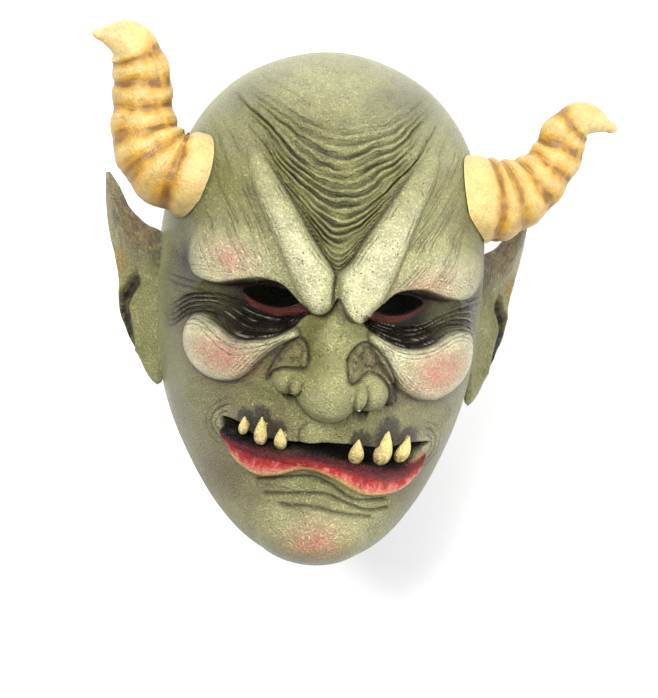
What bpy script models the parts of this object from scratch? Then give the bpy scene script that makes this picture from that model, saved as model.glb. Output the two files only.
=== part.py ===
"""Orc mask: a hollow latex head with two glued horns, lying face up on a small flat on the back of its head.

Row frame: +Z is the way the face looks, +Y is toward the crown, +X is the viewer's right.
The origin is the middle of the flat on the back of the head.
The carving is written in the sculptor's unit, one 238th of the head's height, from the point between the eyes:
x to the viewer's right, y toward the crown, z forward.
"""
import math

import bmesh
import bpy
import numpy as np
from mathutils import Matrix, Vector

# Driving sizes, in metres
HEAD_HEIGHT = 0.238
HEAD_WIDTH = 0.164
HEAD_DEPTH = 0.190
SKIN_WALL = 0.003
REST_FLAT_WIDTH = 0.052
EYE_HOLE_WIDTH = 0.027
EYE_HOLE_HEIGHT = 0.0105
NOSTRIL_WIDTH = 0.007
EAR_HEIGHT = 0.094
EAR_WIDTH = 0.038
EAR_THICKNESS = 0.007
HORN_BASE_WIDTH = 0.040
HORN_TIP_WIDTH = 0.006
TOOTH_WIDTH = 0.0082
GLUE_GAP = 0.0003

# The sculptor's unit and the head's own measures in it
UNIT = HEAD_HEIGHT / 238.0
WIDE = HEAD_WIDTH / (164.0 * UNIT)
DEEP = HEAD_DEPTH / (190.0 * UNIT)
CROWN = 107.4
NECK_END = -136.0
MIDDLE = (CROWN + NECK_END) / 2
HALF_HEIGHT = (CROWN - NECK_END) / 2

# Mesh fineness
HEAD_RINGS = 50
HEAD_COLUMNS = 54
CAVITY_RINGS = 22
CAVITY_COLUMNS = 26
FRONT_CROWDING = 0.45
FACET_REACH = 1.8
ENVELOPE_REACH = 6.0
SLOPE_REACH = 0.8

GREEN = (0.30, 0.34, 0.17, 1.0)
HORN_CREAM = (0.72, 0.50, 0.20, 1.0)

# The head's shape along its height: half width, middle and depth to the front and to the back
WIDTH_CURVE = ((-136, 78), (-106, 80), (-60, 80), (-20, 80), (10, 82), (50, 87), (80, 93), (98, 95), (108, 90))
CENTRE_CURVE = ((-136, -45), (-119, -51), (-106, -60), (-88, -70), (-45, -80), (5, -88), (60, -90), (108, -92))
FRONT_CURVE = ((-136, 122), (-122, 112), (-112, 106), (-100, 100), (-88, 95), (-60, 94), (-25, 93), (5, 93),
               (45, 99), (65, 104), (85, 108), (108, 110))
BACK_CURVE = ((-136, 120), (-106, 112), (-75, 99), (-45, 100), (-20, 99), (5, 102), (45, 104), (85, 99), (108, 96))

# The lower edge of the brows, from the left temple to the right one
BROW_EDGE = ((-76, 12), (-69, 9), (-61, 4), (-52, 3), (-42, 6.5), (-33, 9), (-24, 7), (-16, 0), (-9, -4), (-3, -1),
             (0, 4), (3, -1), (8, -6), (16, -2), (25, 6.5), (35, 8.5), (48, 4), (60, 2), (70, 8))
LEFT_ROLL = ((-2.5, 1), (-2.2, 9), (-3, 16.5), (-12.5, 29.5), (-23, 45.5), (-32, 57.5), (-40, 67), (-45, 66),
             (-42.5, 54.5), (-37.5, 42.5), (-29, 27), (-22, 13), (-16, 2), (-9, -4))
RIGHT_ROLL = ((0.5, 0), (-0.8, 9), (-0.8, 15.5), (4.5, 21.5), (10, 31), (15.5, 39.5), (27, 56), (39, 69), (46, 68),
              (42.5, 56), (35, 42), (28, 24), (21, 7), (15, -3), (8, -7))
LEFT_POUCH = ((-62, -13), (-67, -22), (-66, -33), (-59, -40.5), (-49, -42.5), (-40, -38), (-33, -29), (-25, -20.5),
              (-17, -15), (-21, -12), (-32, -15), (-45, -17), (-54, -13))
RIGHT_POUCH = ((17, -12), (19, -19), (25, -29), (32, -37), (41, -43), (51, -45), (62, -41), (69, -33), (70, -21),
               (66, -12), (57, -11), (46, -14), (35, -15), (25, -12))
LEFT_HOOK = ((-30, -37), (-26.5, -31.5), (-21, -28), (-13.4, -28), (-11.5, -24), (-13, -18.5), (-16, -16.5),
             (-19.5, -18), (-23, -22), (-26.5, -27.5))
RIGHT_HOOK = ((6.5, -30), (6, -24), (9, -18.5), (14.5, -16), (20, -19), (25, -25.5), (29.5, -34), (31.5, -41),
              (30, -46), (26.5, -43), (26, -36), (22, -30), (16.5, -28), (11, -30))
MOUTH_GAP = ((-48.5, -60.5), (-40, -61), (-30, -64.5), (-12, -64), (-2, -63), (11, -63.5), (29, -66), (42, -66),
             (53, -68), (46, -71), (39, -76.5), (28, -77), (16, -74), (3, -71), (-10, -68.5), (-22, -69), (-35, -68.5),
             (-45, -66))
LOWER_LIP = ((-47, -64), (-35, -67.5), (-21, -68.5), (-9, -68), (3, -70.5), (16, -73.5), (28, -76.5), (40, -75.5),
             (49, -70), (48, -78), (43, -84.5), (36, -89), (26, -90), (17, -88.5), (8, -83.5), (0, -79.5), (-9, -78),
             (-20, -82.5), (-29, -84), (-38, -80), (-44, -72))
CHIN_CREASES = (((-30, -88), (-16, -84.5), (-4, -83), (6, -87), (17, -93.5), (32, -94)),
                ((-26, -94), (-12, -92), (2, -91), (12, -94.5), (24, -99), (34, -99)))
CHIN_BUTTON = (-1, -113)
CHIN_RADII = (27, 19)
EYES = (((-29.5, 0.0), -0.05), ((30.0, 0.0), 0.02))
NOSTRILS = ((-19.0, -42.0), (16.0, -46.0))
NOSTRIL_TILT = math.radians(42)
# Each tooth: foot, tip and share of the widest tooth's width
TEETH = (((-38.5, -65.0), (-38.0, -57.0), 0.65), ((-30.5, -68.5), (-31.0, -56.0), 0.88),
         ((-21.5, -69.5), (-22.5, -60.0), 0.82), ((14.5, -74.5), (15.0, -61.5), 0.96),
         ((26.5, -73.5), (30.5, -59.5), 1.12), ((36.5, -73.5), (41.0, -61.0), 0.95))
TOOTH_STAND = 2.6
TOOTH_LEAN = -0.3

# The cut edge below the face, from the chin along the jaw to the nape: z forward, y up
JAW_LINE = ((30, -133.5), (2, -132), (-6, -129), (-15, -121), (-30, -106.5), (-45, -89), (-60, -73.5), (-74, -61),
            (-95, -60), (-130, -68), (-170, -80), (-215, -88))
NECK_CUT_DROP = 55
NECK_CUT_SIDE = 130

# The left ear's outline on its own plate: away from the head, up
EAR_OUTLINE = ((38, 40), (39, 27), (35, 10), (28, -5), (24, -18), (22, -29), (16, -39), (8, -48), (-1, -58),
               (-8, -60), (-10, -45), (-8, -20), (-7, 5), (2, 14), (14, 17), (28, 26))
EAR_CENTRE = (9.0, -14.0)
LEFT_EAR_TURN = math.radians(41)
RIGHT_EAR_TURN = math.radians(49)

# Each horn's middle line, from inside the head to the tip
LEFT_HORN_LINE = ((-44, 42, -62), (-65, 46, -60), (-82, 50, -62), (-92, 62, -66), (-95, 78, -69), (-97, 94, -70),
                  (-105, 108, -69), (-122, 111, -66))
RIGHT_HORN_LINE = ((46, 42, -60), (66, 44, -62), (84, 46, -66), (99, 54, -69), (109, 67, -72), (113, 79, -73),
                   (122, 87, -72), (138, 83, -70))
LEFT_HORN_WIDTHS = (1.08, 1.08, 1.02, 0.91, 0.77, 0.72, 0.54, 0.0)
RIGHT_HORN_WIDTHS = (1.14, 1.12, 1.08, 0.88, 0.68, 0.62, 0.43, 0.0)
HORN_RIDGES = 6
RINGS_START = 0.27
RINGS_END = 0.79


def smooth_curve(points, place):
    """Height at each place of a smooth curve through the points."""
    stations, values = np.array(points, dtype=float).T
    slopes = np.gradient(values, stations)
    i = np.clip(np.searchsorted(stations, place) - 1, 0, len(stations) - 2)
    span = stations[i + 1] - stations[i]
    t = np.clip((place - stations[i]) / span, 0.0, 1.0)
    rise = values[i] * (1 + 2 * t) * (1 - t) ** 2 + values[i + 1] * t * t * (3 - 2 * t)
    return rise + span * t * (1 - t) * (slopes[i] * (1 - t) - slopes[i + 1] * t)


def smooth_line(points, steps, closed=False):
    """Points along a smooth line through the given ones."""
    points = np.array(points, dtype=float)
    count = len(points)
    last = count if closed else count - 1
    line = []
    for i in range(last):
        if closed:
            a, b, c, d = (points[(i + k) % count] for k in (-1, 0, 1, 2))
        else:
            b, c = points[i], points[i + 1]
            a = points[i - 1] if i > 0 else 2 * b - c
            d = points[i + 2] if i + 2 < count else 2 * c - b
        for k in range(steps):
            t = k / steps
            line.append(b + 0.5 * t * (c - a + t * (2 * a - 5 * b + 4 * c - d + t * (3 * (b - c) + d - a))))
    if not closed:
        line.append(points[-1])
    return np.array(line)


def step(low, high, value):
    """0 below low, 1 above high, smooth between them."""
    t = np.clip((value - low) / (high - low), 0.0, 1.0)
    return t * t * (3 - 2 * t)


def dome(x, y, place, radii, turn=0.0):
    """A round swelling of height 1 over an ellipse."""
    dx, dy = x - place[0], y - place[1]
    along = (dx * math.cos(turn) + dy * math.sin(turn)) / radii[0]
    across = (dy * math.cos(turn) - dx * math.sin(turn)) / radii[1]
    return np.clip(1.0 - along ** 2 - across ** 2, 0.0, 1.0) ** 0.75


def line_distance(x, y, line):
    """Distance from each point to a line."""
    nearest = np.full(x.shape, 1e9)
    for a, b in zip(line[:-1], line[1:]):
        edge = b - a
        t = np.clip(((x - a[0]) * edge[0] + (y - a[1]) * edge[1]) / max(edge @ edge, 1e-9), 0.0, 1.0)
        nearest = np.minimum(nearest, np.hypot(x - a[0] - t * edge[0], y - a[1] - t * edge[1]))
    return nearest


def depth_inside(x, y, outline):
    """Distance in from a closed smooth outline, negative outside it."""
    line = smooth_line(outline, 4, closed=True)
    ring = np.vstack((line, line[:1]))
    inside = np.zeros(x.shape, dtype=bool)
    for a, b in zip(ring[:-1], ring[1:]):
        spans = (a[1] > y) != (b[1] > y)
        rise = b[1] - a[1] if b[1] != a[1] else 1e-9
        inside ^= spans & (x < (b[0] - a[0]) * (y - a[1]) / rise + a[0])
    away = line_distance(x, y, ring)
    return np.where(inside, away, -away)


def pillow(x, y, outline, shoulder):
    """A raised pad of height 1 with a rounded shoulder along its outline."""
    t = np.clip(depth_inside(x, y, outline) / shoulder, 0.0, 1.0)
    return np.sqrt(1.0 - (1.0 - t) ** 2)


def brow_relief(x, y):
    """The frown: an overhanging edge, two slanting rolls and an outer lobe over each eye."""
    edge = smooth_curve(BROW_EDGE, x)
    above = step(-1.6, 1.6, y - edge)
    height = 6.0 * above * np.exp(-((y - edge) / 30.0) ** 2) * step(72, 60, -x) * step(80, 66, x)
    swell = 2.6 + 3.6 * step(66, 12, y)
    height += swell * (pillow(x, y, LEFT_ROLL, 9.0) + pillow(x, y, RIGHT_ROLL, 9.0))
    height += 4.5 * above * dome(x, y, (-47, 15), (20, 17)) + 4.5 * above * dome(x, y, (47, 14), (22, 17))
    for side, place in ((-1, (-33, -3)), (1, (33, -3))):
        height -= 7.5 * (1 - above) * dome(x, y, place, (31, 15), -0.05 * side)
    return height


def cheek_relief(x, y):
    """The hanging cheek pouches and the hollows under them."""
    height = 8.0 * pillow(x, y, LEFT_POUCH, 13.0) + 8.0 * pillow(x, y, RIGHT_POUCH, 13.0)
    for centre in ((-42, -52), (40, -55)):
        height -= 3.0 * dome(x, y, centre, (24, 12))
    return height


def nose_relief(x, y):
    """The short broad nose with its ball and wings, and a curled snarl fold over each wing."""
    height = 8.0 * np.exp(-(x / 11.0) ** 2) * step(6, -20, y) * step(-56, -43, y)
    height += 15.0 * dome(x, y, (-1.5, -36.5), (16, 14.5))
    height += 10.0 * dome(x, y, (-20, -34), (8, 8.5)) + 11.0 * dome(x, y, (17.8, -37.5), (10.5, 10.5))
    for centre in ((-17, -20), (17, -22)):
        height -= 2.0 * dome(x, y, centre, (7, 8))
    height += 3.5 * pillow(x, y, LEFT_HOOK, 3.5) + 3.5 * pillow(x, y, RIGHT_HOOK, 3.5)
    return height


def mouth_relief(x, y):
    """The crooked mouth: a dark gap, a thick lower lip and creases under it."""
    height = 4.0 * dome(x, y, (0, -60), (56, 14))
    height -= 10.0 * step(-1.2, 2.2, depth_inside(x, y, MOUTH_GAP))
    height += 6.5 * pillow(x, y, LOWER_LIP, 5.5)
    for crease in CHIN_CREASES:
        height -= 2.0 * np.exp(-(line_distance(x, y, smooth_line(crease, 3)) / 1.8) ** 2)
    height += 4.0 * dome(x, y, CHIN_BUTTON, CHIN_RADII)
    return height


def relief(x, y):
    """Height of the face's carving over the plain head."""
    return brow_relief(x, y) + cheek_relief(x, y) + nose_relief(x, y) + mouth_relief(x, y)


def steepness(x, y, offset):
    """How much farther a gap outside the carving reaches along the sight line than across the gap."""
    if offset <= 0:
        return 1.0
    reach = SLOPE_REACH
    across = (facet_relief(x + reach, y) - facet_relief(x - reach, y)) / (2 * reach)
    along = (facet_relief(x, y + reach) - facet_relief(x, y - reach)) / (2 * reach)
    return np.sqrt(1.0 + across ** 2 + along ** 2)


def head_point(height, turn, offset, carve):
    """Points of the head at heights y and turns from the front, moved out by offset."""
    level = np.sqrt(np.clip(1.0 - ((height - MIDDLE) / HALF_HEIGHT) ** 2, 0.0, 1.0))
    half = level * smooth_curve(WIDTH_CURVE, height)
    centre = smooth_curve(CENTRE_CURVE, height)
    forward = np.cos(turn) >= 0
    reach = level * np.where(forward, smooth_curve(FRONT_CURVE, height), smooth_curve(BACK_CURVE, height))
    x = half * np.sin(turn)
    z = centre + reach * np.cos(turn)
    out_x = np.sin(turn) / np.maximum(half, 12.0)
    out_z = np.cos(turn) / np.maximum(reach, 12.0)
    out_y = (height - MIDDLE) / HALF_HEIGHT ** 2 * 1.1
    length = np.sqrt(out_x ** 2 + out_y ** 2 + out_z ** 2) + 1e-12
    raised = carve(x, height) * step(0.05, 0.35, np.cos(turn)) + offset * steepness(x, height, offset)
    return np.stack((x + raised * out_x / length, height + raised * out_y / length, z + raised * out_z / length), -1)


def ring_heights(rings):
    """Heights of the head's rings, closest together over the eyes and the mouth."""
    heights = np.linspace(NECK_END, CROWN, 600)
    closeness = 1.0 + 1.1 * step(-104, -92, heights) * step(20, 6, heights)
    closeness += 0.35 * step(70, 30, heights)
    flare = 1.0 / np.sqrt(np.clip(1.0 - ((heights - MIDDLE) / HALF_HEIGHT) ** 2, 0.02, 1.0))
    total = np.cumsum(closeness * np.maximum(flare * 0.55, 1.0))
    total = (total - total[0]) / (total[-1] - total[0])
    return np.interp(np.linspace(0.0, 1.0, rings + 1), total, heights)


def around(x, y, reach):
    """The relief at each place and at eight places round it."""
    heights = [relief(x, y)]
    for k in range(8):
        angle = k * math.pi / 4
        heights.append(relief(x + reach * math.cos(angle), y + reach * math.sin(angle)))
    return np.stack(heights)


def facet_relief(x, y):
    """The carving as facets of a few millimetres can follow it: averaged over a facet."""
    return around(x, y, FACET_REACH).mean(axis=0)


def lower_envelope(x, y):
    """The carving as felt from inside: the lowest of the relief close by."""
    return around(x, y, ENVELOPE_REACH).min(axis=0)


def to_row(points):
    """Points in the sculptor's units as metres in the row frame."""
    points = np.asarray(points, dtype=float)
    x = points[..., 0] * UNIT * WIDE
    y = (points[..., 1] - REST_HEIGHT) * UNIT
    z = (points[..., 2] - REST_DEPTH) * UNIT * DEEP
    return np.stack((x, y, z), -1)


def find_rest():
    """Place of the flat on the back of the head, for the wanted width of the flat."""
    heights = np.linspace(-60, 60, 481)
    back = head_point(heights, np.full(heights.shape, math.pi), 0.0, relief)
    lowest = back[:, 2].argmin()
    reach = REST_FLAT_WIDTH / 2 / UNIT
    edges = np.interp((back[lowest, 1] - reach, back[lowest, 1] + reach), back[:, 1], back[:, 2])
    return back[lowest, 1], float(edges.mean())


REST_HEIGHT, REST_DEPTH = find_rest()


def collection(name):
    """A collection of the scene, made when it is first asked for."""
    found = bpy.data.collections.get(name)
    if found is None:
        found = bpy.data.collections.new(name)
        bpy.context.scene.collection.children.link(found)
    return found


def move_to(thing, name):
    """Put an object in one collection only."""
    for old in list(thing.users_collection):
        old.objects.unlink(thing)
    collection(name).objects.link(thing)


def material(name, colour, roughness):
    """A plain material for one piece."""
    made = bpy.data.materials.new(name)
    made.use_nodes = True
    shader = made.node_tree.nodes["Principled BSDF"]
    shader.inputs["Base Color"].default_value = colour
    shader.inputs["Roughness"].default_value = roughness
    shader.inputs["Metallic"].default_value = 0.0
    return made


def set_points(thing, points):
    """Move an object's vertices to new places and make its faces look outward."""
    thing.data.vertices.foreach_set("co", np.asarray(points, dtype=np.float32).ravel())
    shape = bmesh.new()
    shape.from_mesh(thing.data)
    bmesh.ops.recalc_face_normals(shape, faces=shape.faces)
    shape.to_mesh(thing.data)
    shape.free()
    thing.data.update()


def get_points(thing):
    """An object's vertices as an array."""
    flat = np.zeros(len(thing.data.vertices) * 3)
    thing.data.vertices.foreach_get("co", flat)
    return flat.reshape(-1, 3)


def sphere(name, columns, rings):
    """A unit ball to be carved."""
    bpy.ops.mesh.primitive_uv_sphere_add(segments=columns, ring_count=rings, radius=1.0)
    thing = bpy.context.object
    thing.name = name
    return thing


def split_faces(thing):
    """Cut every face into triangles the same way round, so that forms of one fineness match."""
    shape = bmesh.new()
    shape.from_mesh(thing.data)
    bmesh.ops.triangulate(shape, faces=shape.faces, quad_method="FIXED")
    shape.to_mesh(thing.data)
    shape.free()


def cutter(thing):
    """Keep an object as a tool of the solids only."""
    thing.hide_render = True
    thing.display_type = "WIRE"
    move_to(thing, "Tools")
    return thing


def combine(thing, tool, operation):
    """Join a tool to an object or cut it out, with a live Boolean."""
    boolean = thing.modifiers.new(tool.name, "BOOLEAN")
    boolean.solver = "EXACT"
    boolean.operation = operation
    boolean.object = tool


def head_form(name, columns, rings, offset, carve):
    """A closed head carved from a ball, moved out all round by offset in metres."""
    thing = sphere(name, columns, rings)
    split_faces(thing)
    ball = get_points(thing)
    latitude = np.arcsin(np.clip(ball[:, 2], -1.0, 1.0))
    place = (latitude / math.pi + 0.5) * rings
    height = np.interp(place, np.arange(rings + 1), ring_heights(rings))
    turn = np.arctan2(ball[:, 0], -ball[:, 1])
    turn = turn - FRONT_CROWDING * np.sin(turn)
    points = to_row(head_point(height, turn, offset / UNIT, carve))
    if offset < 0:
        points[:, 2] = np.maximum(points[:, 2], -offset)
    set_points(thing, points)
    return thing


def prism(name, outline, front, back, axis_order):
    """A flat outline made solid between two levels along the third axis."""
    shape = bmesh.new()
    ends = []
    for level in (front, back):
        ring = []
        for a, b in outline:
            values = {axis_order[0]: a, axis_order[1]: b, axis_order[2]: level}
            ring.append(shape.verts.new(to_row((values["x"], values["y"], values["z"]))))
        ends.append(ring)
    shape.faces.new(ends[0])
    shape.faces.new(list(reversed(ends[1])))
    count = len(outline)
    for i in range(count):
        j = (i + 1) % count
        shape.faces.new((ends[0][i], ends[1][i], ends[1][j], ends[0][j]))
    bmesh.ops.recalc_face_normals(shape, faces=shape.faces)
    mesh = bpy.data.meshes.new(name)
    shape.to_mesh(mesh)
    shape.free()
    thing = bpy.data.objects.new(name, mesh)
    bpy.context.scene.collection.objects.link(thing)
    return thing


def neck_cutter():
    """All that lies below the jaw line and the nape."""
    line = smooth_line(JAW_LINE, 2)
    low = NECK_END - NECK_CUT_DROP
    outline = [tuple(point) for point in line] + [(JAW_LINE[-1][0], low), (JAW_LINE[0][0], low)]
    return cutter(prism("neck_cutter", outline, -NECK_CUT_SIDE, NECK_CUT_SIDE, "zyx"))


def eye_cutter(name, place, turn):
    """A lens-shaped hole through the eye socket."""
    half_width = EYE_HOLE_WIDTH / 2 / UNIT / WIDE
    half_height = EYE_HOLE_HEIGHT / 2 / UNIT
    outline = []
    for k in range(16):
        angle = 2 * math.pi * k / 16
        along = half_width * math.cos(angle)
        across = half_height * math.sin(angle) * (0.55 + 0.45 * abs(math.sin(angle)))
        outline.append((place[0] + along * math.cos(turn) - across * math.sin(turn),
                        place[1] + along * math.sin(turn) + across * math.cos(turn)))
    return cutter(prism(name, outline, -60, 30, "xyz"))


def plain_depth(x, y):
    """How far forward the uncarved face reaches at a place of the front."""
    level = math.sqrt(1.0 - ((y - MIDDLE) / HALF_HEIGHT) ** 2)
    half = level * float(smooth_curve(WIDTH_CURVE, np.array([y]))[0])
    reach = level * float(smooth_curve(FRONT_CURVE, np.array([y]))[0])
    centre = float(smooth_curve(CENTRE_CURVE, np.array([y]))[0])
    return centre + reach * math.sqrt(1.0 - (x / half) ** 2)


def nostril_cutter(name, place):
    """A small round hole that runs up into the nose from under its wing."""
    bpy.ops.mesh.primitive_cylinder_add(vertices=10, radius=NOSTRIL_WIDTH / 2, depth=0.050)
    thing = bpy.context.object
    thing.name = name
    centre = Vector(to_row((place[0], place[1], plain_depth(place[0], place[1]))))
    thing.matrix_world = Matrix.Translation(centre) @ Matrix.Rotation(NOSTRIL_TILT, 4, "X")
    return cutter(thing)


def ear(name, side, lean):
    """One pointed ear: a rimmed plate with a hollow, set at the side of the head."""
    thing = sphere(name, 24, 11)
    ball = get_points(thing)
    grow_up = EAR_HEIGHT / (94 * UNIT)
    grow_out = EAR_WIDTH / (39 * UNIT)
    outline = smooth_line(EAR_OUTLINE, 5, closed=True) - EAR_CENTRE
    bearing = np.arctan2(outline[:, 1], outline[:, 0])
    order = bearing.argsort()
    reach = np.hypot(outline[:, 0], outline[:, 1])[order]
    turn = np.arctan2(ball[:, 1], ball[:, 0])
    radius = np.interp(turn, bearing[order], reach, period=2 * math.pi)
    share = np.hypot(ball[:, 0], ball[:, 1])
    share = np.sin(share * math.pi / 2) ** 0.9
    away = (EAR_CENTRE[0] + share * radius * np.cos(turn)) * grow_out
    up = (EAR_CENTRE[1] + share * radius * np.sin(turn)) * grow_up
    half = EAR_THICKNESS / 2 / UNIT
    thick = half * np.sign(ball[:, 2]) * np.sqrt(np.clip(1.0 - share ** 4, 0.0, 1.0))
    hollow = np.where(ball[:, 2] > 0, 3.2 * step(0.86, 0.55, share), 0.0)
    proud = thick - hollow - 0.06 * (up - 10.0)
    x = side * (79 + away * math.cos(lean) + proud * math.sin(lean))
    z = -80 - away * math.sin(lean) + proud * math.cos(lean)
    set_points(thing, to_row(np.stack((x, up, z), -1)))
    return cutter(thing)


def surface_depth(x, y):
    """How far forward the carved face reaches at a place of the front."""
    return plain_depth(x, y) + float(relief(np.array([x]), np.array([y]))[0])


def tooth(name, foot, tip, share):
    """One tusk-like tooth, from the lower lip up over the upper one."""
    thing = sphere(name, 8, 6)
    ball = get_points(thing)
    t = (ball[:, 2] + 1.0) / 2
    width = TOOTH_WIDTH / UNIT * share / 2
    start = np.array((foot[0], foot[1], plain_depth(foot[0], foot[1]) + TOOTH_STAND))
    end = np.array((tip[0], tip[1], surface_depth(tip[0], tip[1]) + TOOTH_LEAN))
    axis = start + (end - start) * t[:, None]
    taper = (1.0 - 0.75 * t ** 1.5)[:, None]
    spread = np.stack((ball[:, 0], np.zeros(len(ball)), -ball[:, 1] * 1.1), -1) * width * taper * 1.1
    set_points(thing, to_row(axis + spread))
    return cutter(thing)


def horn(name, line, widths):
    """One ringed horn swept along its middle line, its foot cut to sit on the skin."""
    columns, rings = 14, 34
    path = smooth_line(line, 8)
    steps = np.linalg.norm(np.diff(path, axis=0), axis=1)
    travel = np.concatenate(([0.0], np.cumsum(steps))) / steps.sum()
    stations = np.linspace(0.0, 1.0, len(widths))
    width_points = tuple(zip(stations, widths))
    thing = sphere(name, columns, rings)
    ball = get_points(thing)
    latitude = np.arcsin(np.clip(ball[:, 2], -1.0, 1.0)) / math.pi + 0.5
    place = np.clip(latitude * 1.02 - 0.01, 0.0, 1.0)
    centre = np.stack([np.interp(place, travel, path[:, k]) for k in range(3)], -1)
    ahead = np.stack([np.interp(np.clip(place + 0.02, 0, 1), travel, path[:, k]) for k in range(3)], -1)
    behind = np.stack([np.interp(np.clip(place - 0.02, 0, 1), travel, path[:, k]) for k in range(3)], -1)
    tangent = ahead - behind
    tangent /= np.linalg.norm(tangent, axis=1)[:, None]
    forward = np.array((0.0, 0.0, 1.0))
    first = np.cross(forward, tangent)
    first /= np.linalg.norm(first, axis=1)[:, None]
    second = np.cross(tangent, first)
    radius = HORN_BASE_WIDTH / UNIT / 2 * smooth_curve(width_points, place)
    tip = HORN_TIP_WIDTH / UNIT / 2
    cap = np.sqrt(np.clip((1.0 - place) / 0.03, 0.0, 1.0)) * np.sqrt(np.clip(place / 0.01, 0.0, 1.0))
    radius = np.maximum(radius, tip) * cap
    phase = (place - RINGS_START) / (RINGS_END - RINGS_START) * (HORN_RIDGES - 1)
    ringed = step(RINGS_START - 0.06, RINGS_START, place) * step(RINGS_END + 0.06, RINGS_END, place)
    radius = radius * (1.0 - 0.10 * (0.5 + 0.5 * np.cos(2 * math.pi * phase)) * ringed)
    turn = np.arctan2(ball[:, 1], ball[:, 0])
    points = centre + radius[:, None] * (np.cos(turn)[:, None] * first + np.sin(turn)[:, None] * second)
    set_points(thing, to_row(points))
    thing.data.materials.append(material("Horn", HORN_CREAM, 0.5))
    move_to(thing, name)
    return thing


def mask_skin():
    """The hollow head with its ears and teeth, open at the eyes, nostrils and neck."""
    skin = head_form("mask_skin", HEAD_COLUMNS, HEAD_RINGS, 0.0, facet_relief)
    skin.data.materials.append(material("Latex", GREEN, 0.55))
    for name, side, lean in (("ear_left", -1, LEFT_EAR_TURN), ("ear_right", 1, RIGHT_EAR_TURN)):
        combine(skin, ear(name, side, lean), "UNION")
    for number, (foot, tip, share) in enumerate(TEETH, start=1):
        combine(skin, tooth(f"tooth_{number}", foot, tip, share), "UNION")
    bpy.ops.mesh.primitive_cube_add(size=0.3, location=(0, 0, -0.15))
    ground = bpy.context.object
    ground.name = "rest_cutter"
    combine(skin, cutter(ground), "DIFFERENCE")
    cavity = head_form("cavity", CAVITY_COLUMNS, CAVITY_RINGS, -SKIN_WALL, lower_envelope)
    combine(skin, cutter(cavity), "DIFFERENCE")
    combine(skin, neck_cutter(), "DIFFERENCE")
    for name, (place, turn) in zip(("eye_left", "eye_right"), EYES):
        combine(skin, eye_cutter(name, place, turn), "DIFFERENCE")
    for name, place in zip(("nostril_left", "nostril_right"), NOSTRILS):
        combine(skin, nostril_cutter(name, place), "DIFFERENCE")
    move_to(skin, "mask_skin")
    return skin


def main():
    for old in list(bpy.data.objects):
        bpy.data.objects.remove(old, do_unlink=True)
    skin = mask_skin()
    foot_form = cutter(head_form("horn_foot", HEAD_COLUMNS, HEAD_RINGS, GLUE_GAP, facet_relief))
    horns = (horn("horn_left", LEFT_HORN_LINE, LEFT_HORN_WIDTHS),
             horn("horn_right", RIGHT_HORN_LINE, RIGHT_HORN_WIDTHS))
    for thing in horns:
        combine(thing, foot_form, "DIFFERENCE")
    for thing in (skin,) + horns:
        bpy.context.view_layer.objects.active = thing
        for polygon in thing.data.polygons:
            polygon.use_smooth = True


main()
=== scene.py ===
"""The looks of the orc mask: a painted latex head with two ringed horns, lying face up on a pale floor.

The carving is written in the sculptor's unit, one 238th of the head's height, from the point between the
eyes: x to the viewer's right, y toward the crown, z forward. to_row turns it into metres in the row frame.
"""

import math

import bmesh
import bpy
import numpy as np
from mathutils import Matrix, Vector
from mathutils.kdtree import KDTree


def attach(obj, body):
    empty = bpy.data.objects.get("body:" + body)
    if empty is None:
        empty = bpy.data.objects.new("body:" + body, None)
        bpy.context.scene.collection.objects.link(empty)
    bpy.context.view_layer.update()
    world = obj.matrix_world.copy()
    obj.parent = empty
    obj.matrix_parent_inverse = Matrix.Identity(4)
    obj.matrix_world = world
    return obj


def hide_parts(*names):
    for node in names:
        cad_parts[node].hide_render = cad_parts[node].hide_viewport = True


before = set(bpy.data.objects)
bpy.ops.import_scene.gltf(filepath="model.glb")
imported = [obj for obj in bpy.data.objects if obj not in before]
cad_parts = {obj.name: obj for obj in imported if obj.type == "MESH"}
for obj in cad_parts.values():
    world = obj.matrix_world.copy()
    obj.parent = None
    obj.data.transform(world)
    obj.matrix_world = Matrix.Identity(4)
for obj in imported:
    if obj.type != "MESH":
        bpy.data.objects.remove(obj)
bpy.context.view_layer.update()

# The head as the solids have it
HEAD_HEIGHT = 0.238
SKIN_WALL = 0.003
REST_FLAT_WIDTH = 0.052
EYE_HOLE_WIDTH = 0.027
EYE_HOLE_HEIGHT = 0.0105
NOSTRIL_WIDTH = 0.007
EAR_THICKNESS = 0.007
HORN_BASE_WIDTH = 0.040
HORN_TIP_WIDTH = 0.006
TOOTH_WIDTH = 0.0082
GLUE_GAP = 0.0003
UNIT = HEAD_HEIGHT / 238.0
CROWN = 107.4
NECK_END = -136.0
MIDDLE = (CROWN + NECK_END) / 2
HALF_HEIGHT = (CROWN - NECK_END) / 2

# Mesh fineness
HEAD_RINGS = 470
HEAD_COLUMNS = 460
HEAD_TRIANGLES = 165000
CAVITY_RINGS = 44
CAVITY_COLUMNS = 52
EAR_RINGS = 64
EAR_COLUMNS = 120
TOOTH_RINGS = 24
TOOTH_COLUMNS = 28
HORN_RINGS = 300
HORN_COLUMNS = 88
FOOT_RINGS = 140
FOOT_COLUMNS = 160
FRONT_CROWDING = 0.45
ENVELOPE_REACH = 6.0
FOOT_REACH = 1.2

# How near a point lies to a surface to count as on it, and how far off it counts as inside the mask
ON_SURFACE = 0.0002
INSIDE_FROM = 0.0006
INSIDE_FULL = 0.0012

# How far the cutting shapes reach
GROUND_BLOCK = 0.3
NOSTRIL_DEPTH = 0.050
NECK_CUT_SIDE = 130
NECK_CUT_CORNERS = ((-215, -190), (30, -190))
EYE_CUT_BACK = -60
EYE_CUT_FRONT = 30

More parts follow.
